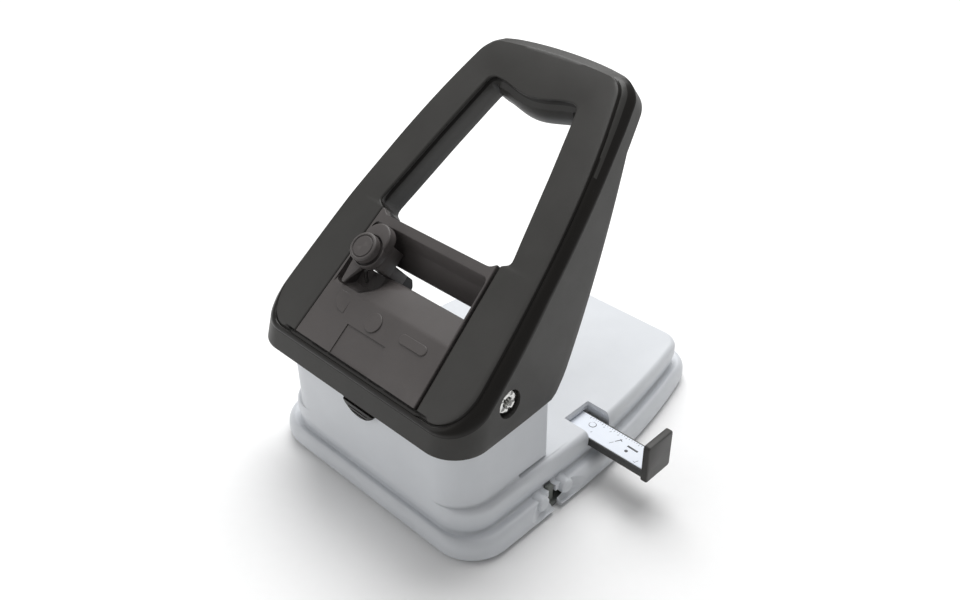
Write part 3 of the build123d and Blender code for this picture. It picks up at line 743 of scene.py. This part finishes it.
def top_point(index, out):
    """Right half of the top face's edge; out moves it towards the bevel's lower edge."""
    turns = corner_turns()
    if index < len(turns):
        turn = turns[index]
        u = 0.7 + (CORNER_END_U - 0.7) * (1 - sin(turn))
        radius = 10.5
        x = top_half(u) - radius * (1 - cos(turn))
        if index < FRONT_STEPS:
            x = (top_half(0.7) - radius) * index / FRONT_STEPS
        return (x - out, u + out * sin(turn) * 0.6)
    index -= len(turns)
    if index < len(SIDE_U):
        return (top_half(SIDE_U[index]) - out, SIDE_U[index])
    x, u = TOP_GRIP[index - len(SIDE_U)]
    return (x - out * x / 30, u - out * (1 - x / 30))


LOOP_KEYS = (0.9, 49.1, 49.5, 49.9, 50.3, 50.7, 51.2, 52.0, 53.2, 60.0, 80.0, 98.0)
LOOP_HALF = (28.2, 25.75, 25.9, 26.5, 27.3, 27.9, 28.25, 28.4, 28.25, 26.9, 23.1, 19.3)


def opening_point(index, grow):
    """Right half of the opening: the panel's bay, a small step at the crossbar, then the hand loop."""
    if index < FRONT_STEPS:
        return ((28.2 + grow) * index / FRONT_STEPS, 0.9 - grow)
    index -= FRONT_STEPS
    if index < CORNER_STEPS + len(SIDE_U) - 1:
        u = SIDE_U[max(0, index - CORNER_STEPS)]
        if index < CORNER_STEPS:
            u = 0.9 - grow + (CORNER_END_U - 0.9 + grow) * index / CORNER_STEPS
        return (keyed(u, LOOP_KEYS, LOOP_HALF) + grow, u)
    index -= CORNER_STEPS
    index -= len(SIDE_U) - 1
    corner_steps = 9
    radius = 3.0 + grow
    centre = (15.6, 100.6)
    if index < corner_steps:
        angle = radians(10) + radians(92) * index / corner_steps
        return (centre[0] + radius * cos(angle), centre[1] + radius * sin(angle))
    total = GRIP_COUNT - corner_steps
    share = (index - corner_steps) / total
    start = centre[0] + radius * cos(radians(102))
    x = start * (1 - share)
    bulge = 101.0 + grow
    rise = centre[1] + radius * sin(radians(102)) - bulge
    return (x, bulge + rise * (x / start) ** 2 * (2 - (x / start) ** 2))


def loop_weights(index):
    """How much of a column belongs to the hand loop, and how much to its grip end."""
    index -= FRONT_STEPS + CORNER_STEPS
    if index < 0:
        return 0.0, 0.0
    if index < len(SIDE_U):
        return smooth((SIDE_U[index] - 51.0) / 3.0), 0.0
    return 1.0, smooth((index - len(SIDE_U)) / 10.0)


def full_ring(point):
    """Mirror a right half of row-frame points into a ring."""
    right = [point(i) for i in range(HALF_COUNT)]
    return right + [(-x, y, z) for x, y, z in reversed(right[1:-1])]


def make_handle_frame():
    def opening(grow, v):
        return full_ring(lambda i: sloped(*opening_point(i, grow), v))

    def top(out, v):
        return full_ring(lambda i: sloped(*top_point(i, out), v))

    def skirt(inset, share):
        return full_ring(lambda i: skirt_point(i, inset, share))

    def shoulder(share, sink):
        """Between the top face's edge and the bevel's lower edge, sunk into the handle."""

        def point(i):
            edge = sloped(*top_point(i, 0.0), 0.0)
            low = skirt_point(i, 0.0, 0.0)
            groove = 1 - smooth((i - GRIP_FIRST + 4) / 6.0)
            drop = Vector(sloped(0, 0, 0)) - Vector(sloped(0, 0, sink * groove + 0.3 * (1 - groove)))
            return tuple(Vector(mix(edge, low, share)) + drop)

        return full_ring(point)

    def loop_wall(grow, bulge, v):
        """Wall of the hand loop: undercut by grow, and bulging towards the hand at the grip."""

        def point(i):
            loop, grip = loop_weights(i)
            return sloped(*opening_point(i, grow * loop - bulge * grip), v)

        return full_ring(point)

    bottom = -HANDLE_DEPTH
    rings = [opening(grow, v) for grow, v in ((0.7, 0.0), (0.42, -0.06), (0.18, -0.22), (0.04, -0.45))]
    rings += [loop_wall(grow, bulge, v) for grow, bulge, v in (
        (0.0, 0.0, -0.7), (0.9, 0.0, -0.95), (1.0, 0.0, -2.3), (0.25, 0.2, -2.9), (0.0, 1.6, -3.6),
        (0.0, 2.7, -5.5), (0.0, 2.9, -8.0), (0.0, 2.5, bottom + 0.6), (0.15, 2.0, bottom + 0.15),
        (0.5, 1.2, bottom))]
    rings += [opening(grow, v) for grow, v in (
        (1.8, bottom), (2.3, bottom + 0.5), (2.3, -SKIN - 0.6), (2.9, -SKIN))]
    rings += [top(3.2, -SKIN - 0.4)]
    rings += [skirt(SKIRT_WALL + gap, share) for gap, share in (
        (0.6, 0.06), (0.0, 0.12), (0.0, 0.4), (0.0, 0.7), (0.0, 0.97), (-0.35, 1.0))]
    rings += [skirt(inset, share) for inset, share in ((0.35, 1.0), (0.1, 0.992))]
    rings += [skirt(0.0, share) for share in (0.97, 0.85, 0.7, 0.55, 0.4, 0.25, 0.1, 0.03)]
    rings += [shoulder(share, sink) for share, sink in (
        (1.0, 0.0), (0.94, -0.28), (0.8, -0.5), (0.55, -0.5), (0.3, -0.2), (0.2, 0.1), (0.13, 0.55),
        (0.06, 0.6))]
    rings += [top(out, v) for out, v in ((0.0, -0.35), (0.12, -0.1), (0.4, 0.0), (1.6, 0.0))]
    return loft("handle_frame_shell", rings, closed=True), len(rings)


def colour_frame(obj, ring_count):
    """Painted shade and painted dark reflection: near-black paint on the shoulder between top face and skirt,
    on the front lip and on the loop's undercut.
    """
    around = 2 * (HALF_COUNT - 1)
    strip = {ring: SIDE_FIRST + sum(u < start for u in SIDE_U) for ring, start in STRIP_START.items()}
    obj.data.materials.append(PAINTS["handle_plastic"])
    obj.data.materials.append(PAINTS["near_black_and_painted_shade"])
    for polygon in obj.data.polygons:
        ring, column = divmod(polygon.index, around)
        column = min(column, around - column - 1)
        from_end = ring_count - ring
        shoulder = 4 < from_end <= 13 and column < GRIP_FIRST
        strip_without_painted_shade = column >= strip.get(from_end, HALF_COUNT)
        lip = (from_end <= 4 or ring == 0) and column < FRONT_STEPS
        undercut = 3 <= ring < 7 and column > SIDE_FIRST
        # Shoulder (outside its plain strip), front lip and loop undercut get near-black painted shade; on the
        # shoulder it also stands for a dark reflection
        if (shoulder and not strip_without_painted_shade) or lip or undercut:
            polygon.material_index = 1


def axle_disc(radius, low, high):
    return prism("axle_disc", circle(AXLE_Y, AXLE_Z, radius), low, high, facing_x)


def finish_handle_frame():
    shell, ring_count = make_handle_frame()
    colour_frame(shell, ring_count)
    for side in (-1, 1):
        add(shell, axle_disc(7.0, *span(side, 40.6, 44.9)))
        cut(shell, axle_disc(RECESS_RADIUS, *span(side, 44.7, 52)))
    cut(shell, box("block_clearance", (-34, 34), (-66, -20), (30, BLOCK_TOP + 1.5)))
    cut(shell, axle_disc(7.4, -34, 34), axle_disc(3.06, -60, 60))
    for side in (-1, 1):
        for u, low, riser_x in LUGS:
            lug = box("lug", span(side, 21.0, riser_x + 1.4), (u - 3, u + 3), (low, low + 2), sloped)
            cut(lug, prism("lug_hole", circle(side * LUG_X, u, 1.3, 24), low - 1, low + 3, sloped))
            riser_span = span(side, riser_x, riser_x + 1.9)
            add(shell, lug, box("riser", riser_span, (u - 2.9, u + 2.9), (low + 0.3, -3.2), sloped))
        for u, inner, outer in ((62.0, 28.0, 40.6), (80.0, 24.6, 37.6)):
            add(shell, box("rib", span(side, inner, outer), (u, u + 1.6), (-9, -2.5), sloped))
    return place(shell, "handle", "handle_plastic", "handle_frame", sharp=28)


# ---- panel, selector and button


def across(u, v, x):
    """An outline in (u, v) with a height along x."""
    return sloped(x, u, v)


def seam_x(u):
    """Half width of the frame's opening beside the panel."""
    return keyed(u, (0.9, 49.1), (28.2, 25.75))


def panel_outline(near, far, gap):
    """Plan of the panel with an ear beside each seam; the right seam is the wider one."""
    ear = [(24.5, far), (23.9, far - 0.5), (23.2, far - 1.0), (22.3, far - 1.4), (21.0, 47.7)]
    right = [(seam_x(near) - SEAM_RIGHT - gap, near), (seam_x(far) - SEAM_RIGHT - gap, far)]
    left = [(gap + SEAM_LEFT - seam_x(far), far), (gap + SEAM_LEFT - seam_x(near), near)]
    return right + ear + [(-x, u) for x, u in reversed(ear)] + left


DIAGONAL_X, DIAGONAL_U = (-14.0, -5.4, 1.4, 3.2), (21.8, 27.6, 30.0, 30.6)


def diagonal_x(u):
    """Where the pocket's sloping flank reaches the ramp."""
    return keyed(u, DIAGONAL_U, DIAGONAL_X)


def pocket_floor(x, u):
    """Floor of the pocket beside the pointer: deep at the left, rising to the ramp at the diagonal."""
    deep = keyed(u, (21, 22, 23, 24, 25), (-3.6, -4.6, -5.7, -7.8, -POCKET_DEPTH))
    ramp_v = -3.05 * min(1.0, max(0.0, (u - 21.5) / 9.0)) + 0.04
    edge = diagonal_x(u)
    share = min(1.0, max(0.0, (x + 16.0) / (edge + 16.0)))
    return deep + (ramp_v - deep) * sin(share * pi / 2)


def pocket_cutter():
    stations = [(-25.7, 23.6), (-25.5, 22.8), (-25.0, 22.2), (-24.2, 21.9), (-23.0, 21.75), (-18.0, 21.8)]
    stations += [(x, keyed(x, DIAGONAL_X, DIAGONAL_U)) for x in (
        -16.0, -14.0, -13.0, -11.5, -10.0, -8.5, -7.0, -5.4, -3.0, -1.0, 1.4, 2.6)]
    rings = []
    for x, near in stations:
        floor = [(u, pocket_floor(x, u)) for u in steps(near, 31.2, 9) + [31.2]]
        outline = [(near, 3.0), *floor, (31.2, 3.0)]
        rings.append([sloped(x, u, v) for u, v in outline])
    return loft("pocket", rings)


def raised_pad(name, outline, height, slope):
    """Low pad whose top leans by slope (per mm of x and u) from its middle."""
    middle = [sum(p[k] for p in outline) / len(outline) for k in (0, 1)]

    def top(x, u):
        return height + slope[0] * (x - middle[0]) + slope[1] * (u - middle[1])

    inner = [mix(p, middle, 0.06) for p in outline]
    rings = [
        [sloped(x, u, -0.6) for x, u in outline],
        [sloped(x, u, top(x, u) - 0.1) for x, u in outline],
        [sloped(x, u, top(x, u)) for x, u in inner],
    ]
    return loft(name, rings)


def make_panel():
    rings = [[sloped(x, u, v) for x, u in panel_outline(1.3 + gap, 49.3 - gap, gap)] for gap, v in (
        (0.0, -2.8), (0.0, -0.4), (0.1, -0.14), (0.3, 0.0))]
    panel = loft("panel_plate", rings)
    body_plan = [(seam_x(19.6) - SEAM_RIGHT - 0.1, 19.6), (seam_x(47.4) - SEAM_RIGHT - 0.1, 47.4)]
    body_plan += [(-seam_x(47.4) + SEAM_LEFT + 0.1, 47.4), (-seam_x(19.6) + SEAM_LEFT + 0.1, 19.6)]
    body = prism("panel_body", body_plan, -12.6, -1.4, sloped)
    near_right = [(18, -2.6), (30.6, -5.4), (30.6, -14), (18, -14)]
    near_left = [(18, -10.4), (30.6, -10.4), (30.6, -14), (18, -14)]
    far_corner = [(47.9, -8.6), (43.5, -12.6), (43.5, -14), (47.9, -14)]
    for under, low, high in ((near_right, 4.0, 30), (near_left, -30, 4.0), (far_corner, -30, 30)):
        cut(body, prism("under", under, low, high, across))
    add(panel, body)
    for side in (-1, 1):
        for u, low, _riser in LUGS:
            add(panel, box("post", span(side, 21.4, 25.2), (u - 2, u + 2), (low + 2.1, -1.0), sloped))
            cut(panel, prism("post_hole", circle(side * LUG_X, u, 1.0, 20), -20, low + 6.5, sloped))

    fold = [(20.0, 3.0), (20.4, 0.012), (20.9, -0.02), (21.4, -0.09), (21.9, -0.21), (22.4, -0.36),
            (31.0, -3.2)]
    slot = [(31.0, -30.0), (36.2, -30.0), (36.2, -10.8), (36.6, -10.35), (41.7, -5.3), (42.05, -4.85),
            (44.3, -0.4)]
    rim = [(44.55, -0.1), (44.8, 0.02), (46.5, 3.0)]
    recess = prism("recess_side", fold + slot + rim, -40, 40, across)
    plan = rounded([(25.75, 19.0), (24.5, 44.9), (-24.9, 44.9), (-26.0, 19.0)], (0, 2.4, 2.4, 0), 8)
    combine(recess, prism("recess_plan", plan, -35, 5, sloped), "INTERSECT")
    cut(panel, recess, pocket_cutter())
    cut(panel, axle_disc(7.0, -60, 60))

    corner = rounded([(-15.0, 14.0), (-15.0, 20.2), (-20.9, 20.2), (-20.9, 14.0)], (0.3, 0.3, 0.6, 4.9), 8)
    add(panel, raised_pad("corner_pad", corner, 0.16, (-0.05, -0.045)))
    add(panel, raised_pad("hole_pad", circle(-2.6, 16.3, 3.25, 48), 0.24, (0.05, -0.03)))
    add(panel, raised_pad("slot_pad", stadium((10.6, 16.8), (18.8, 16.8), 1.6), 0.26, (0.008, -0.06)))
    cut(panel, box("label_recess", (-11.0, 6.5), (1.75, 12.0), (-0.32, 1), sloped))
    panel.name = "panel_shell"
    return place(panel, "handle", "panel_plastic", "handle_panel", sharp=14)


def layered(name, outline, profile):
    """Block on the handle with a shaped edge: profile is a list of (inset, v)."""
    return loft(name, [[sloped(x, u, v) for x, u in outline(inset)] for inset, v in profile])


def bar_ring(x, u, v, round_by):
    """Cross-section of the pointer at u: x and v are (low, high) pairs."""
    (left, right), (low, high) = x, v
    step = 0.3 * round_by
    points = [(left, low), (right, low), (right, high - round_by), (right - step, high - step),
              (right - round_by, high), (left + round_by, high), (left + step, high - step),
              (left, high - round_by)]
    return [sloped(p, u, q) for p, q in points]


def make_carriage():
    x = BUTTON_X
    seat = sloped(x, BUTTON_U, 0)
    carriage = layered(
        "carriage", lambda inset: stadium((x, BUTTON_U), (x, CARRIAGE_FAR_U), CARRIAGE_RADIUS - inset, 24),
        ((0.3, 0.4), (0.0, 0.7), (0.0, 2.1), (0.15, 2.45), (0.5, 2.6)))
    lobe = layered(
        "lobe",
        lambda inset: stadium((x, CARRIAGE_FAR_U - 1.0), (x, CARRIAGE_FAR_U), CARRIAGE_RADIUS - inset, 24),
        ((0.05, 1.0), (0.0, 3.3), (0.12, 3.75), (0.45, 4.08), (1.0, 4.2)))
    cut(lobe, lathe("lobe_cut", [(5.45, 2.0), (5.45, 9.0)], seat, OUT, 72))
    add(carriage, lobe)
    collar = [(0.01, 1.2), (5.3, 1.2), (5.55, 2.0), (5.6, 3.3), (5.5, 3.7), (5.3, 3.85), (5.12, 3.7),
              (5.05, 3.4), (5.05, 2.7), (0.01, 2.7)]
    ring = lathe("collar", collar, seat, OUT, 72)
    add(carriage, ring)
    pointer = loft("pointer", [bar_ring(*section) for section in (
        ((-22.0, -13.4), 35.0, (0.45, 2.4), 0.3), ((-22.1, -15.0), 33.0, (0.45, 2.35), 0.3),
        ((-22.2, -16.1), 31.7, (0.42, 2.25), 0.3), ((-22.35, -17.9), 28.6, (0.4, 1.85), 0.26),
        ((-22.5, -19.8), 25.2, (0.38, 1.3), 0.2), ((-22.62, -21.0), 22.9, (0.36, 0.9), 0.15),
        ((-22.3, -21.4), 22.3, (0.4, 0.7), 0.1))])
    neck = box("neck", (x - 4.8, x + 4.8), (31.15, 39.6), (-6.0, 0.6), sloped)
    stem = box("stem", (x - 4.6, x + 4.6), (31.15, 35.2), (-13.5, -5.5), sloped)
    round_edges(neck, 0.35, 2)
    round_edges(stem, 0.35, 2)
    add(carriage, pointer, neck, stem)
    cut(carriage, lathe("bore", [(2.8, -1.2), (2.8, 8.0)], seat, OUT, 48))
    carriage.name = "selector_slider"
    return place(carriage, "carriage", "panel_plastic", "selector_carriage", sharp=30)


def make_button():
    profile = [
        (0.01, 1.6), (2.5, 1.6), (2.5, 4.3), (2.7, 4.4), (4.45, 4.4), (4.72, 4.5), (4.88, 4.75), (4.9, 5.2),
        (4.9, 6.4), (4.84, 6.75), (4.66, 7.0), (4.35, 7.14), (4.0, 7.18), (3.9, 7.12), (3.84, 6.95),
        (3.74, 6.86), (3.6, 6.86), (3.5, 6.95), (3.44, 7.1), (3.34, 7.18), (2.6, 7.2), (1.4, 7.22),
        (0.01, 7.22)]
    button = lathe("selector_knob", profile, sloped(BUTTON_X, BUTTON_U, 0), OUT, 96)
    return place(button, "button", "panel_plastic", "selector_button", sharp=30)


# ---- axle, springs, guide and lock


def make_axle():
    """Axle with a rolled, hollow head at each end; the roll splits into lobes."""
    half = [(0.01, 40.0), (1.55, 40.0), (1.6, 45.3), (1.75, 45.8), (2.1, 46.08), (2.6, 46.16), (3.2, 46.02),
            (3.7, 45.7), (4.0, 45.25), (4.0, 44.9), (3.0, 44.8), (3.0, 20.0)]
    profile = half + [(r, -h) for r, h in reversed(half)]
    lobes, lobe_depth = 5, 0.6
    rings = []
    for radius, height in profile:
        ring = []
        for angle in steps(0, 2 * pi, 80):
            lobe = max(0.0, cos(lobes * angle + 0.6)) ** 2
            rolled = smooth((radius - 1.5) / 0.5) * smooth((3.9 - radius) / 0.5) * (abs(height) > 45.3)
            depth = copysign(lobe_depth * lobe * rolled, height)
            ring.append((height - depth, AXLE_Y + radius * cos(angle), AXLE_Z + radius * sin(angle)))
        rings.append(ring)
    axle = loft("rivet_axle", rings)
    return place(axle, "base", "rivet_chrome", "pivot_axle", sharp=40)


def helix(centre, radius, start, end, turns, per_turn=28, closed_turns=1.0, wire=0.4):
    """Points of a coil round +Z whose end turns lie flat."""
    count = int(turns * per_turn)
    flat_rise = 2.1 * wire
    points = []
    for i in range(count + 1):
        turn = turns * i / count
        if turn < closed_turns:
            rise = flat_rise * turn
        elif turn > turns - closed_turns:
            rise = end - start - flat_rise * (turns - turn)
        else:
            share = (turn - closed_turns) / (turns - 2 * closed_turns)
            rise = flat_rise * closed_turns + share * (end - start - 2 * flat_rise * closed_turns)
        angle = 2 * pi * turn
        points.append((centre[0] + radius * cos(angle), centre[1] + radius * sin(angle), start + rise))
    return points


def corner_blade(x):
    """A square less a quarter disc, which leaves the card a rounded corner."""
    half, radius = 4.5, 6.0
    arc = [(half + radius * cos(a), half + radius * sin(a)) for a in steps(-pi / 2, -pi, 16)]
    outline = [(-half, half), (-half, -half), (half, -half), *arc, (half - radius, half)]
    return [(x + a, PUNCH_Y + b) for a, b in outline]


def make_punches():
    x = PUNCHES["slot"]
    blades = dict(corner=corner_blade(PUNCHES["corner"]), hole=circle(PUNCHES["hole"], PUNCH_Y, 3.0),
                  slot=stadium((x - 5.5, PUNCH_Y), (x + 5.5, PUNCH_Y), 1.5))
    for name, blade in blades.items():
        cutter = prism(f"{name}_cutter", blade, 19.8, 37.6)
        turned = [(0.01, 36.6), (2.3, 36.6), (2.3, 54.7), (4.3, 54.7), (4.4, 54.85), (4.4, 55.3), (4.1, 56.0),
                  (3.3, 56.8), (2.2, 57.3), (1.1, 57.46), (0.01, 57.5)]
        add(cutter, lathe("stem", turned, (PUNCHES[name], PUNCH_Y, 0), (0, 0, 1), 48))
        place(cutter, f"{name}_cutter", "tool_steel", f"{name}_punch")


def make_punch_springs():
    for name, x in PUNCHES.items():
        wire = 0.4
        path = helix((x, PUNCH_Y), 3.3, SPRING_SEAT + wire, SPRING_TOP - wire, 7)
        spring = tube(f"{name}_return_spring", path, wire, 12)
        place(spring, "base", "spring_steel", f"{name}_punch_spring", sharp=60)
        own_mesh(spring)


def make_button_spring():
    low, height, wire = -1.15, 2.65, 0.2
    turned = [sloped(BUTTON_X + x, BUTTON_U + u, v) for x, u, v in helix(
        (0, 0), 1.9, low + wire, low + height - wire, 4, closed_turns=0.7, wire=wire)]
    spring = tube("button_return_spring", turned, wire, 10)
    place(spring, "carriage", "spring_steel", "button_spring", sharp=60)
    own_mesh(spring)


def make_torsion_spring():
    """Coil round the axle with one leg on the block, and the other leg under the panel."""
    radius, wire, low_x, high_x, turns = 4.6, 0.6, -34.0, -22.0, 7.5
    low_z = AXLE_Z - radius
    coil = []
    for i in range(int(turns * 36) + 1):
        share = i / (turns * 36)
        angle = -pi / 2 - 2 * pi * turns * share
        x = low_x + (high_x - low_x) * share
        coil.append((x, AXLE_Y + radius * cos(angle), AXLE_Z + radius * sin(angle)))
    bend = 1.4
    near_y = AXLE_Y - 8.0
    leg = [(low_x, near_y, BLOCK_TOP + 0.1)]
    leg += [(low_x, near_y + bend * (1 - cos(a)), low_z - bend * (1 - sin(a)))
            for a in steps(0, pi / 2, 6)]
    leg += [(low_x, y, low_z) for y in steps(near_y + bend, AXLE_Y - 0.4, 4)]
    spring = tube("torsion_spring", leg + coil, wire, 12)
    place(spring, "base", "spring_steel", "handle_spring", sharp=60)
    far_y = AXLE_Y + 6.2
    path = [(high_x, AXLE_Y, low_z), (high_x, AXLE_Y + 2.4, low_z)]
    path += [(high_x, far_y - bend * (1 - sin(a)), low_z + bend * (1 - cos(a)))
             for a in steps(0, pi / 2, 6)[1:]]
    path += [(high_x, far_y, z) for z in (53, 60, 67.0)]
    far_leg = tube("torsion_spring_leg", path, wire, 12)
    place(far_leg, "handle", "spring_steel", sharp=60)


def make_guide():
    bar = box("guide_rail", (BAR_INNER_X, STOP_X), (-5.0, 5.0), (12.0, 15.0))
    cut(bar, box("label_bed", (4.0, STOP_X - 0.6), (-4.6, 4.6), (14.75, 17.0)))
    for x in steps(-14.0, 2.0, 8):
        cut(bar, box("grip_groove", (x, x + 0.8), (-4.0, 4.0), (14.6, 16.0)))
    round_edges(bar, 0.25, 2)
    tongue = box("tongue", (STOP_X - 0.5, STOP_X + 1.2), (-3.0, 3.0), (12.6, 14.4))
    add(bar, tongue)
    place(bar, "side_guide", "black_plastic", "guide_bar")

    film = []
    for inset, z in ((0.0, 14.75), (0.0, 15.0), (0.05, LABEL_TOP)):
        corners = rectangle((4.1 + inset, STOP_X - 0.7 - inset), (-4.5 + inset, 4.5 - inset))
        film.append([(x, y, z) for x, y in rounded(corners, (0.5, 0.5, 0.5, 0.5), 5)])
    label = loft("scale_film", film)
    place(label, "side_guide", "label_white", "guide_label")

    low, high = STOP_Z
    near, far = STOP_Y
    plate = []
    for inset, depth in ((0.35, 0.0), (0.08, 0.12), (0.0, 0.4), (0.0, STOP_DEPTH - 0.5),
                         (0.12, STOP_DEPTH - 0.15), (0.45, STOP_DEPTH)):
        corners = rectangle((near + inset, far - inset), (low + inset, high - inset))
        outline = rounded(corners, (0.9, 0.9, 1.0, 1.0), 6)
        plate.append([(STOP_X + depth, a, b) for a, b in outline])
    stop = loft("guide_stop", plate)
    cut(stop, box("tongue_slot", (STOP_X - 1, STOP_X + 1.25), (-3.05, 3.05), (12.55, 14.45)))
    place(stop, "side_guide", "handle_plastic", "guide_end_stop", sharp=40)


def stroke(x, y, length, width, turn=0.0):
    """One printed line, a thin film on the label; turn is in degrees from +X."""
    angle = radians(turn)
    along = Vector((cos(angle), sin(angle))) * length / 2
    side = Vector((-sin(angle), cos(angle))) * width / 2
    corners = [-along - side, along - side, along + side, -along + side]
    return prism("stroke", [(x + c.x, y + c.y) for c in corners], LABEL_TOP - 0.01, LABEL_TOP + 0.02)


def make_marks():
    """Generic scale: fine ticks along the far edge, a few longer ones, a ring, a dot and a bar."""
    marks = [stroke(x, 3.95 - 0.25 * (i % 5 == 0), 0.5 + 0.5 * (i % 5 == 0), 0.12, 90)
             for i, x in enumerate(steps(39.0, 63.0, 24))]
    marks += [stroke(*mark) for mark in (
        (58.6, 0.9, 4.2, 0.75, -2), (52.8, 1.0, 2.6, 0.3, 60), (53.4, 1.6, 1.2, 0.25, -25),
        (51.6, -1.4, 1.7, 0.16, 62), (63.0, -3.0, 1.6, 0.14, 70), (62.5, -3.6, 0.9, 0.14, 0))]
    marks += [stroke(x, y, 0.7, 0.16, 55) for x, y in ((43.6, -1.9), (45.2, 2.9), (51.0, 3.0), (48.2, 2.6))]
    dot = prism("dot", circle(57.6, -1.3, 0.62, 24), LABEL_TOP - 0.01, LABEL_TOP + 0.02)
    ring = prism("ring", circle(41.7, 1.2, 1.35, 36), LABEL_TOP - 0.01, LABEL_TOP + 0.02)
    cut(ring, prism("ring_hole", circle(41.6, 1.3, 1.15, 36), LABEL_TOP - 1, LABEL_TOP + 1))
    join(ring, dot, *marks)
    ring.name = "scale_marks"
    paint(ring, PAINTS["mark_ink"])
    return place(ring, "side_guide", "black_plastic", sharp=None)


def make_lock():
    """Half-moon thumb tab: a sunk upper band and a proud lower lip."""
    outline_radius, centre_z = 9.2, 43.2

    def moon(inset, top):
        radius = outline_radius - inset
        start = pi + asin(min(1.0, (centre_z - top) / radius))
        end = 2 * pi - asin(min(1.0, (centre_z - top) / radius))
        points = []
        for angle in steps(start, end, 28) + [end]:
            x = min(7.4 - inset, max(-7.4 + inset, radius * cos(angle)))
            points.append((x, centre_z + radius * sin(angle)))
        return points

    top = 43.0
    rings = [[(x, y, z) for x, z in moon(inset, top - inset)] for inset, y in (
        (0.0, -62.2), (0.0, -63.4), (0.15, -63.8), (0.5, -64.0))]
    tab = loft("tab", rings)
    cut(tab, box("tab_band", (-9, 9), (-65, -63.3), (37.9, 44)))
    for z in (35.2, 36.4):
        cut(tab, box("tab_groove", (-4.5, 4.5), (-65, -63.75), (z, z + 0.4)))
    shank = box("shank", (-2.8, 2.8), (-62.6, -58.2), (35.2, 39.0))
    plate = box("plate", (-5.5, 5.5), (-59.3, -57.8), (33.6, 39.6))
    round_edges(plate, 0.3, 2)
    add(tab, shank, plate)
    tab.name = "lock_tab"
    paint(tab, PAINTS["near_black_and_painted_shade"])
    return place(tab, "lock", "handle_plastic", "lock_slide")


# ---- studio


def look_at_matrix(position, target, roll):
    back = (position - target).normalized()
    right = Vector((0, 0, 1)).cross(back).normalized()
    up = back.cross(right)
    turned_right = right * cos(roll) + up * sin(roll)
    turned_up = up * cos(roll) - right * sin(roll)
    axes = Matrix((turned_right, turned_up, back)).transposed().to_4x4()
    return Matrix.Translation(position) @ axes


def make_camera():
    data = bpy.data.cameras.new("camera")
    data.lens = 37.42
    data.sensor_width = 36.0
    camera = bpy.data.objects.new("camera", data)
    bpy.context.scene.collection.objects.link(camera)
    position = Vector((193.6, -204.3, 237.9)) * MM
    target = Vector((-1.27, -8.34, 50.19)) * MM
    camera.matrix_world = look_at_matrix(position, target, radians(-0.758))
    data.clip_start = 0.01
    bpy.context.scene.camera = camera


def area_light(name, position, target, size, power, colour=(1, 1, 1)):
    data = bpy.data.lights.new(name, "AREA")
    data.shape = "RECTANGLE"
    data.size, data.size_y = size
    data.energy = power
    data.color = colour
    light = bpy.data.objects.new(name, data)
    bpy.context.scene.collection.objects.link(light)
    light.matrix_world = look_at_matrix(Vector(position), Vector(target), 0)


def make_studio():
    far = 4000
    corners = rectangle((-far, far), (-far, far))
    floor = new_object("floor", [(x, y, 0) for x, y in corners], [(0, 1, 2, 3)])
    material, tree, shader, coordinate = new_material(
        "floor_paper", {"Roughness": 0.9, "Specular IOR Level": 0.1})
    fibre = noise(tree, coordinate, 300.0)
    paper = tinted(tree, (0.93, 0.93, 0.93, 1), (0.95, 0.95, 0.95, 1), fibre)
    feed(tree, shader, {"Base Color": paper})
    floor.data.materials.append(material)
    world = bpy.data.worlds.new("studio")
    bpy.context.scene.world = world
    world.use_nodes = True
    background = world.node_tree.nodes["Background"]
    background.inputs["Color"].default_value = (1, 1, 1, 1)
    background.inputs["Strength"].default_value = 0.3
    area_light("overhead", (-0.25, 0.35, 0.9), (0, 0, 0.05), (0.9, 0.9), 12.0)
    area_light("front_left", (-0.6, -0.8, 0.5), (0, 0, 0.05), (0.7, 0.7), 2.0)
    bpy.context.scene.view_settings.view_transform = "Standard"


finish_handle_frame()
make_panel()
make_carriage()
make_button()
make_base()
make_tray()
make_axle()
make_punches()
make_punch_springs()
make_button_spring()
make_torsion_spring()
make_guide()
make_marks()
make_lock()
make_camera()
make_studio()

for part in frame["record"]["subparts"]:
    paint(frame["nodes"][part["node"]], PAINTS[part["material_slot"]])

# The presser foot gets near-black paint as painted shade instead of bare steel
paint(frame["nodes"]["presser_foot"], PAINTS["painted_shade_steel"])
